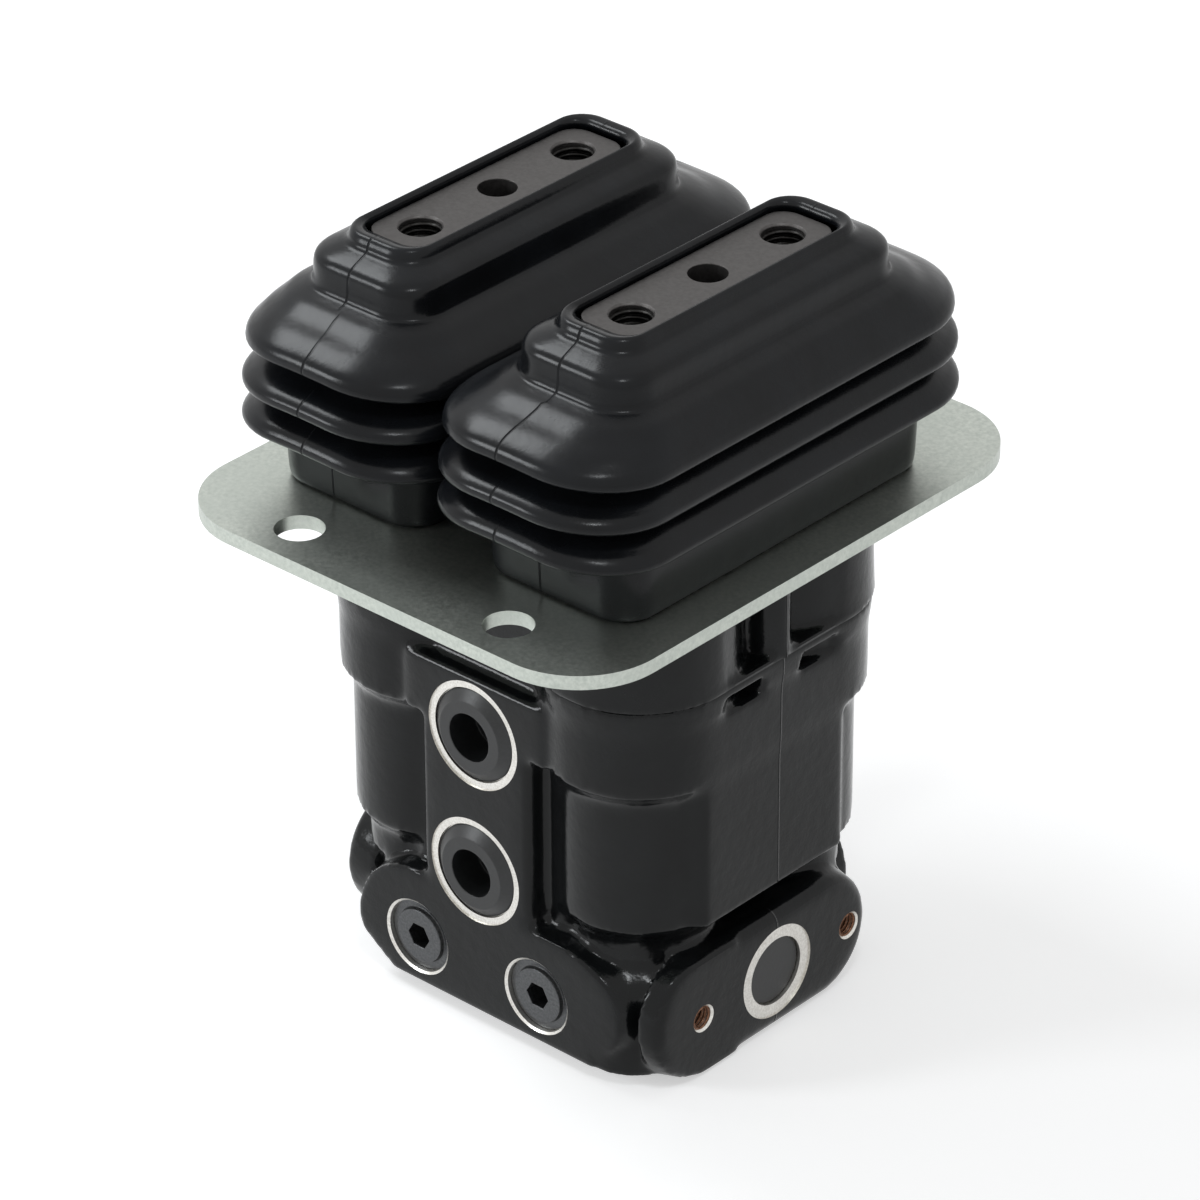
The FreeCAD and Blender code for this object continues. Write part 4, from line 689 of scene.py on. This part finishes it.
def threads(name, body, material, **sizes):
    """The threads of one pair of holes; sizes are in metres, and Turn is in radians."""
    piece = new_piece(name, bmesh.new())
    step = piece.modifiers.new("threads", "NODES")
    step.node_group = THREADS
    for size, number in sizes.items():
        step[THREAD_SOCKETS[size]] = number
    step[THREAD_SOCKETS["Finish"]] = material
    settle(piece)
    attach(piece, body)
    return piece


# Profile of a tapped hole in the cam: radius and depth
PEDAL_THREAD = [(0, -1), (6.4, -1), (5.35, 0.05), (5.0, 0.5), (5.0, 16), (0, 16)]


def cam(side, sign):
    """The pedal's cam with its tapped holes opened to their full thread and chamfered."""
    name = f"cam_{side}"
    piece = new_piece(f"{name}_forging", node_mesh(name))
    x = sign * PEDAL_X
    cut(piece, [(PEDAL_THREAD, (x, y, CAM_TOP), DOWN) for y in (-PEDAL_BOLT_Y, PEDAL_BOLT_Y)])
    piece.data.materials.clear()
    piece.data.materials.append(FINISHES["cam_steel"])
    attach(piece, f"pedal_cam_{side}")
    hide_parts(name)
    threads(
        f"pedal_threads_{side}", f"pedal_cam_{side}", OILED_THREAD,
        Radius=5.0 * MM, Pitch=1.5 * MM, Turns=9, Ridge=0.75 * MM, Spacing=2 * PEDAL_BOLT_Y * MM,
        Place=(x * MM, 0, (CAM_TOP - 15) * MM), Turn=(0, 0, 0),
    )


SPRING_FEET = (("return_spring", -72), ("balance_spring", -50))    # height of each kind's lower end


def springs(side):
    """The coil springs of a side's two rods, copied from their nodes where they stand."""
    for end, way in (("front", -1), ("back", 1)):
        place = f"{side}_{end}"
        for kind, foot_z in SPRING_FEET:
            node = f"{kind}_{place}"
            mesh = node_mesh(node)
            piece = new_piece(f"{node}_coil", mesh, FINISHES["spring_steel"])
            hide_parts(node)
            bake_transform(piece)


# Boots


# Outside of a boot from its lip down: level, half width, half length and corner radius
OUTSIDE = (
    (67.1, 10.2, 38.8, 6.0),
    (67.3, 10.8, 40.2, 6.6),
    (66.8, 11.4, 41.1, 7.2),
    (65.8, 11.8, 41.7, 7.6),
    (64.8, 12.1, 42.0, 7.8),
    (64.1, 12.7, 42.6, 8.0),
    (63.5, 13.9, 43.9, 8.4),
    (62.7, 15.6, 45.7, 9.0),
    (61.9, 16.9, 47.2, 9.6),
    (60.9, 17.7, 48.1, 9.9),
    (59.6, 18.0, 48.5, 10.0),
    (57.4, 18.2, 48.7, 10.4),
    (55.4, 18.5, 48.9, 10.8),
    (54.3, 19.0, 49.4, 11.4),
    (53.6, 20.2, 51.0, 12.4),
    (52.7, 22.1, 53.6, 14.2),
    (50.9, 25.2, 57.5, 16.4),
    (49.4, 27.6, 61.5, 18.4),
    (47.8, 29.3, 64.6, 20.2),
    (46.5, 30.1, 66.2, 21.2),
    (45.2, 30.5, 66.8, 21.6),
    (44.0, 30.5, 66.9, 21.6),
    (43.2, 30.0, 66.3, 21.2),
    (42.9, 28.6, 64.7, 20.0),
    (42.6, 25.0, 60.0, 17.0),
    (41.4, 21.5, 55.6, 12.6),
    (40.2, 21.0, 55.0, 12.0),
    (39.3, 21.5, 55.8, 12.6),
    (38.5, 25.0, 60.5, 17.0),
    (37.6, 28.0, 64.8, 19.8),
    (36.6, 29.7, 67.3, 21.4),
    (35.3, 30.5, 68.6, 22.0),
    (34.0, 30.5, 68.7, 22.0),
    (33.1, 30.0, 68.1, 21.6),
    (32.7, 28.6, 66.4, 20.4),
    (32.4, 25.0, 61.0, 17.0),
    (31.3, 21.5, 55.6, 12.6),
    (30.3, 21.0, 55.0, 12.0),
    (29.5, 21.5, 55.8, 12.6),
    (28.7, 25.8, 61.2, 17.0),
    (27.7, 28.6, 64.9, 19.4),
    (26.3, 30.4, 67.0, 20.6),
    (24.8, 31.3, 67.8, 21.0),
    (23.6, 31.2, 67.6, 20.8),
    (22.9, 30.2, 66.4, 20.0),
    (22.4, 27.4, 61.4, 17.0),
    (21.8, 24.6, 55.6, 12.0),
    (20.0, 23.6, 53.8, 9.8),
    (12.0, 23.2, 53.3, 9.2),
    (4.6, 22.8, 52.8, 9.0),
    (3.9, 22.3, 52.3, 8.6),
)
# Inside of a boot from its foot up to the lip
INSIDE = (
    (3.9, 21.0, 51.0, 7.4),
    (12.0, 21.2, 51.3, 7.6),
    (20.6, 21.8, 52.0, 8.2),
    (23.9, 27.0, 62.0, 17.0),
    (25.4, 29.0, 65.4, 19.0),
    (27.0, 26.6, 62.0, 17.0),
    (29.9, 19.2, 53.2, 10.4),
    (30.9, 19.2, 53.2, 10.4),
    (33.8, 26.5, 63.4, 18.2),
    (34.8, 28.6, 66.4, 20.4),
    (36.2, 26.5, 63.0, 18.0),
    (39.8, 19.2, 53.2, 10.4),
    (40.8, 19.2, 53.2, 10.4),
    (44.0, 27.0, 62.4, 18.6),
    (45.0, 28.4, 64.4, 19.8),
    (46.3, 27.0, 62.2, 18.4),
    (50.2, 20.5, 53.0, 12.4),
    (53.2, 17.6, 48.0, 10.0),
    (58.6, 16.4, 46.6, 8.6),
    (60.8, 14.6, 44.8, 7.8),
    (62.6, 11.6, 41.2, 6.6),
    (64.0, 10.0, 38.0, 5.6),
    (66.6, 9.7, 37.2, 5.4),
)
LEVELS_BETWEEN = 3       # levels added between two given ones
CORNER_STEPS = 12        # points of an outline round a corner, across an end and along a side
END_STEPS = 12
SIDE_STEPS = 26
SEAM_WIDTH = 0.22        # half width and depth of the parting line
SEAM_DEPTH = 0.45
SEAM_FOLDS = (21, 53)    # levels between which the parting line runs over the folds
SKIRT_SEAM = -3.3        # where it lies from the boot's middle on the skirt, the neck and the folds
NECK_SEAM = -1.4
FOLD_SEAM = {"left": 0, "right": -2.2}
SKIRT_TOP = 22           # below this a boot is a straight skirt
FOLD_HALVES = (23, 29)   # half widths of an outline at a fold's foot and at its rim
FOLD_LEAN = 1.4          # how far the folds' middle lies inwards
FOLD_DROOP = 1.6         # how far a fold hangs at its corners and sides


def through(rows, extra):
    """Rows of numbers with extra rows between, on a smooth curve that doesn't swing past them."""
    rows = np.array(rows, float)
    rows = np.vstack([2 * rows[0] - rows[1], rows, 2 * rows[-1] - rows[-2]])
    out = []
    for before, here, there, after in zip(rows, rows[1:], rows[2:], rows[3:]):
        gaps = [np.linalg.norm(q - p) ** 0.5 for p, q in ((before, here), (here, there), (there, after))]
        step, first, last = there - here, gaps[0] + gaps[1], gaps[1] + gaps[2]
        leave = step + gaps[1] * ((here - before) / gaps[0] - (there - before) / first)
        arrive = step + gaps[1] * ((after - there) / gaps[2] - (after - here) / last)
        for t in np.arange(extra + 1) / (extra + 1):
            swing = (t ** 3 - 2 * t ** 2 + t) * leave + (t ** 3 - t ** 2) * arrive
            out.append(here + (3 * t ** 2 - 2 * t ** 3) * step + swing)
    return np.array(out + [rows[-2]])


def seam_offset(side, level):
    """How far the mould's parting line lies from a boot's middle at a level."""
    low, high = SEAM_FOLDS
    if level < low:
        return SKIRT_SEAM
    if level > high:
        return NECK_SEAM
    return FOLD_SEAM[side]


def fold_share(half):
    """0 on the neck and the skirt, 1 at a fold's rim, for an outline's half width."""
    foot, rim = FOLD_HALVES
    return min(max((half - foot) / (rim - foot), 0), 1)


def ring(side, sign, level, half, reach, corner, seam):
    """One level's outline round the cam, anticlockwise from +X; seam cuts the parting line into it."""
    points = []
    for sign_x, sign_y, start in ((1, 1, 0), (-1, 1, 90), (-1, -1, 180), (1, -1, 270)):
        for step in range(CORNER_STEPS + 1):
            angle = math.radians(start + 90 * step / CORNER_STEPS)
            x = sign_x * (half - corner) + corner * math.cos(angle)
            y = sign_y * (reach - corner) + corner * math.sin(angle)
            points.append((x, y))
        if start in (0, 180):
            flat = half - corner
            middle = seam_offset(side, level)
            left, right = middle - SEAM_WIDTH, middle + SEAM_WIDTH
            spots = list(np.linspace(-flat, left - SEAM_WIDTH, END_STEPS // 2)[1:])
            spots += [left, middle, right]
            spots += list(np.linspace(right + SEAM_WIDTH, flat, END_STEPS // 2)[:-1])
            if start == 0:
                spots = spots[::-1]
            for spot in spots:
                sunk = SEAM_DEPTH if seam and spot == middle else 0
                points.append((spot, sign_y * (reach - sunk)))
        else:
            straight = sign_y * (reach - corner)
            for y in np.linspace(straight, -straight, SIDE_STEPS)[1:-1]:
                points.append((sign_x * half, y))
    share = fold_share(half) if level > SKIRT_TOP else 0
    centre = sign * (PEDAL_X - FOLD_LEAN * share)
    placed = []
    for x, y in points:
        height = level - FOLD_DROOP * share * (abs(x) / half) ** 2
        placed.append(((x + centre) * MM, y * MM, height * MM))
    return placed


def boot(side, sign):
    """Bellows of three folds between a lip round the cam and a skirt on the plate, as one closed skin."""
    rows = [(row, True) for row in through(OUTSIDE, LEVELS_BETWEEN)]
    rows += [(row, False) for row in through(INSIDE, 1)]
    mesh = bmesh.new()
    corners = []
    for row, seam in rows:
        corners.append([mesh.verts.new(spot) for spot in ring(side, sign, *row, seam)])
    around = len(corners[0])
    for k, upper in enumerate(corners):
        lower = corners[(k + 1) % len(corners)]
        for j in range(around):
            following = (j + 1) % around
            mesh.faces.new((upper[j], lower[j], lower[following], upper[following]))
    bmesh.ops.recalc_face_normals(mesh, faces=mesh.faces)
    piece = new_piece(f"bellows_{side}", mesh, FINISHES["boot_rubber"])
    piece.data.shade_smooth()
    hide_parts(f"boot_{side}")
    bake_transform(piece)


def finish_nodes():
    """Gives every node of the frame the finish of its slot."""
    slots = {part["node"]: part["material_slot"] for part in frame["record"]["subparts"]}
    for name, node in frame["nodes"].items():
        node.data.materials.clear()
        node.data.materials.append(FINISHES[slots[name]])


# Stage


def seen_rays(tree):
    """1 for what the camera sees, straight or in a mirror or glass."""
    path = add(tree, "ShaderNodeLightPath")
    shiny = add(tree, "ShaderNodeMath", {
        0: path.outputs["Is Glossy Ray"], 1: path.outputs["Is Transmission Ray"],
    }, operation="MAXIMUM")
    kinds = {0: path.outputs["Is Camera Ray"], 1: shiny.outputs[0]}
    return add(tree, "ShaderNodeMath", kinds, operation="MAXIMUM").outputs[0]


def floor():
    """A pale floor that shows white to the camera and keeps the object's shadow."""
    bpy.ops.mesh.primitive_plane_add(size=8, location=(0, 0, FLOOR_Z * MM))    # 8 m across
    plane = bpy.context.object
    plane.name = "floor"
    material, tree, shader = new_material("pale_floor", {
        "Base Color": linear("#e6e6e6"), "Roughness": 0.9, "Specular IOR Level": 0.1,
        "Emission Color": (1, 1, 1, 1),
    })
    glow = add(tree, "ShaderNodeMath", {0: seen_rays(tree), 1: 0.5}, operation="MULTIPLY")
    tree.links.new(glow.outputs[0], shader.inputs["Emission Strength"])
    plane.data.materials.append(material)


COOL_WHITE = (0.94, 0.975, 1.0)


def softbox(name, place, aim, size, radiance):
    """An area lamp that faces aim, as bright as radiance."""
    lamp = bpy.data.lights.new(name, "AREA")
    lamp.shape = "RECTANGLE"
    lamp.size, lamp.size_y = size
    lamp.color = COOL_WHITE
    lamp.energy = radiance * math.pi * size[0] * size[1]
    holder = bpy.data.objects.new(name, lamp)
    holder.location = place
    holder.rotation_euler = (Vector(aim) - Vector(place)).to_track_quat("-Z", "Y").to_euler()
    bpy.context.scene.collection.objects.link(holder)


def lights():
    """Three softboxes, cool white, in a plain white studio."""
    softbox("left_softbox", (-0.75, -0.1, 0.95), (0, 0, 0), (0.42, 0.42), 9.5)
    softbox("front_left_softbox", (-0.72, -0.98, 0.4), (0, 0, -0.03), (0.26, 0.45), 14.0)
    softbox("key_softbox", (0.47, -0.4, 1.0), (0, 0, 0), (0.15, 0.15), 26.0)
    world = bpy.data.worlds.new("studio")
    bpy.context.scene.world = world
    world.use_nodes = True
    tree = world.node_tree
    tree.nodes.clear()
    # 1.0 for what the camera sees, 0.41 for the light it gives
    strength = add(tree, "ShaderNodeMapRange", {"Value": seen_rays(tree), "To Min": 0.41, "To Max": 1.0})
    white = {"Color": (1, 1, 1, 1), "Strength": strength.outputs["Result"]}
    shell = add(tree, "ShaderNodeBackground", white)
    add(tree, "ShaderNodeOutputWorld", {"Surface": shell.outputs[0]})


def camera():
    """The photograph's viewpoint."""
    lens = bpy.data.cameras.new("camera")
    lens.sensor_width = SENSOR_MM
    lens.lens = LENS_MM
    lens.clip_start, lens.clip_end = 0.05, 20
    eye = bpy.data.objects.new("camera", lens)
    turn = Matrix((CAMERA_RIGHT, -CAMERA_DOWN, -CAMERA_AHEAD)).transposed().to_4x4()
    eye.matrix_world = Matrix.Translation(CAMERA_PLACE) @ turn
    bpy.context.scene.collection.objects.link(eye)
    bpy.context.scene.camera = eye


finish_nodes()
valve_body()
upper_casing()
for side, sign in (("left", -1), ("right", 1)):
    cam(side, sign)
    springs(side)
    boot(side, sign)
    threads(
        f"side_bolt_threads_{side}", "housing", THREAD_PASTE,
        Radius=3.0 * MM, Pitch=1.0 * MM, Turns=11, Ridge=0.5 * MM, Spacing=2 * SIDE_BOLT_Y * MM,
        Place=(sign * (SIDE_FACE - 0.4) * MM, 0, SIDE_PORT_Z * MM), Turn=(0, -sign * math.pi / 2, 0),
    )
floor()
lights()
camera()
bpy.context.scene.view_settings.view_transform = "Standard"
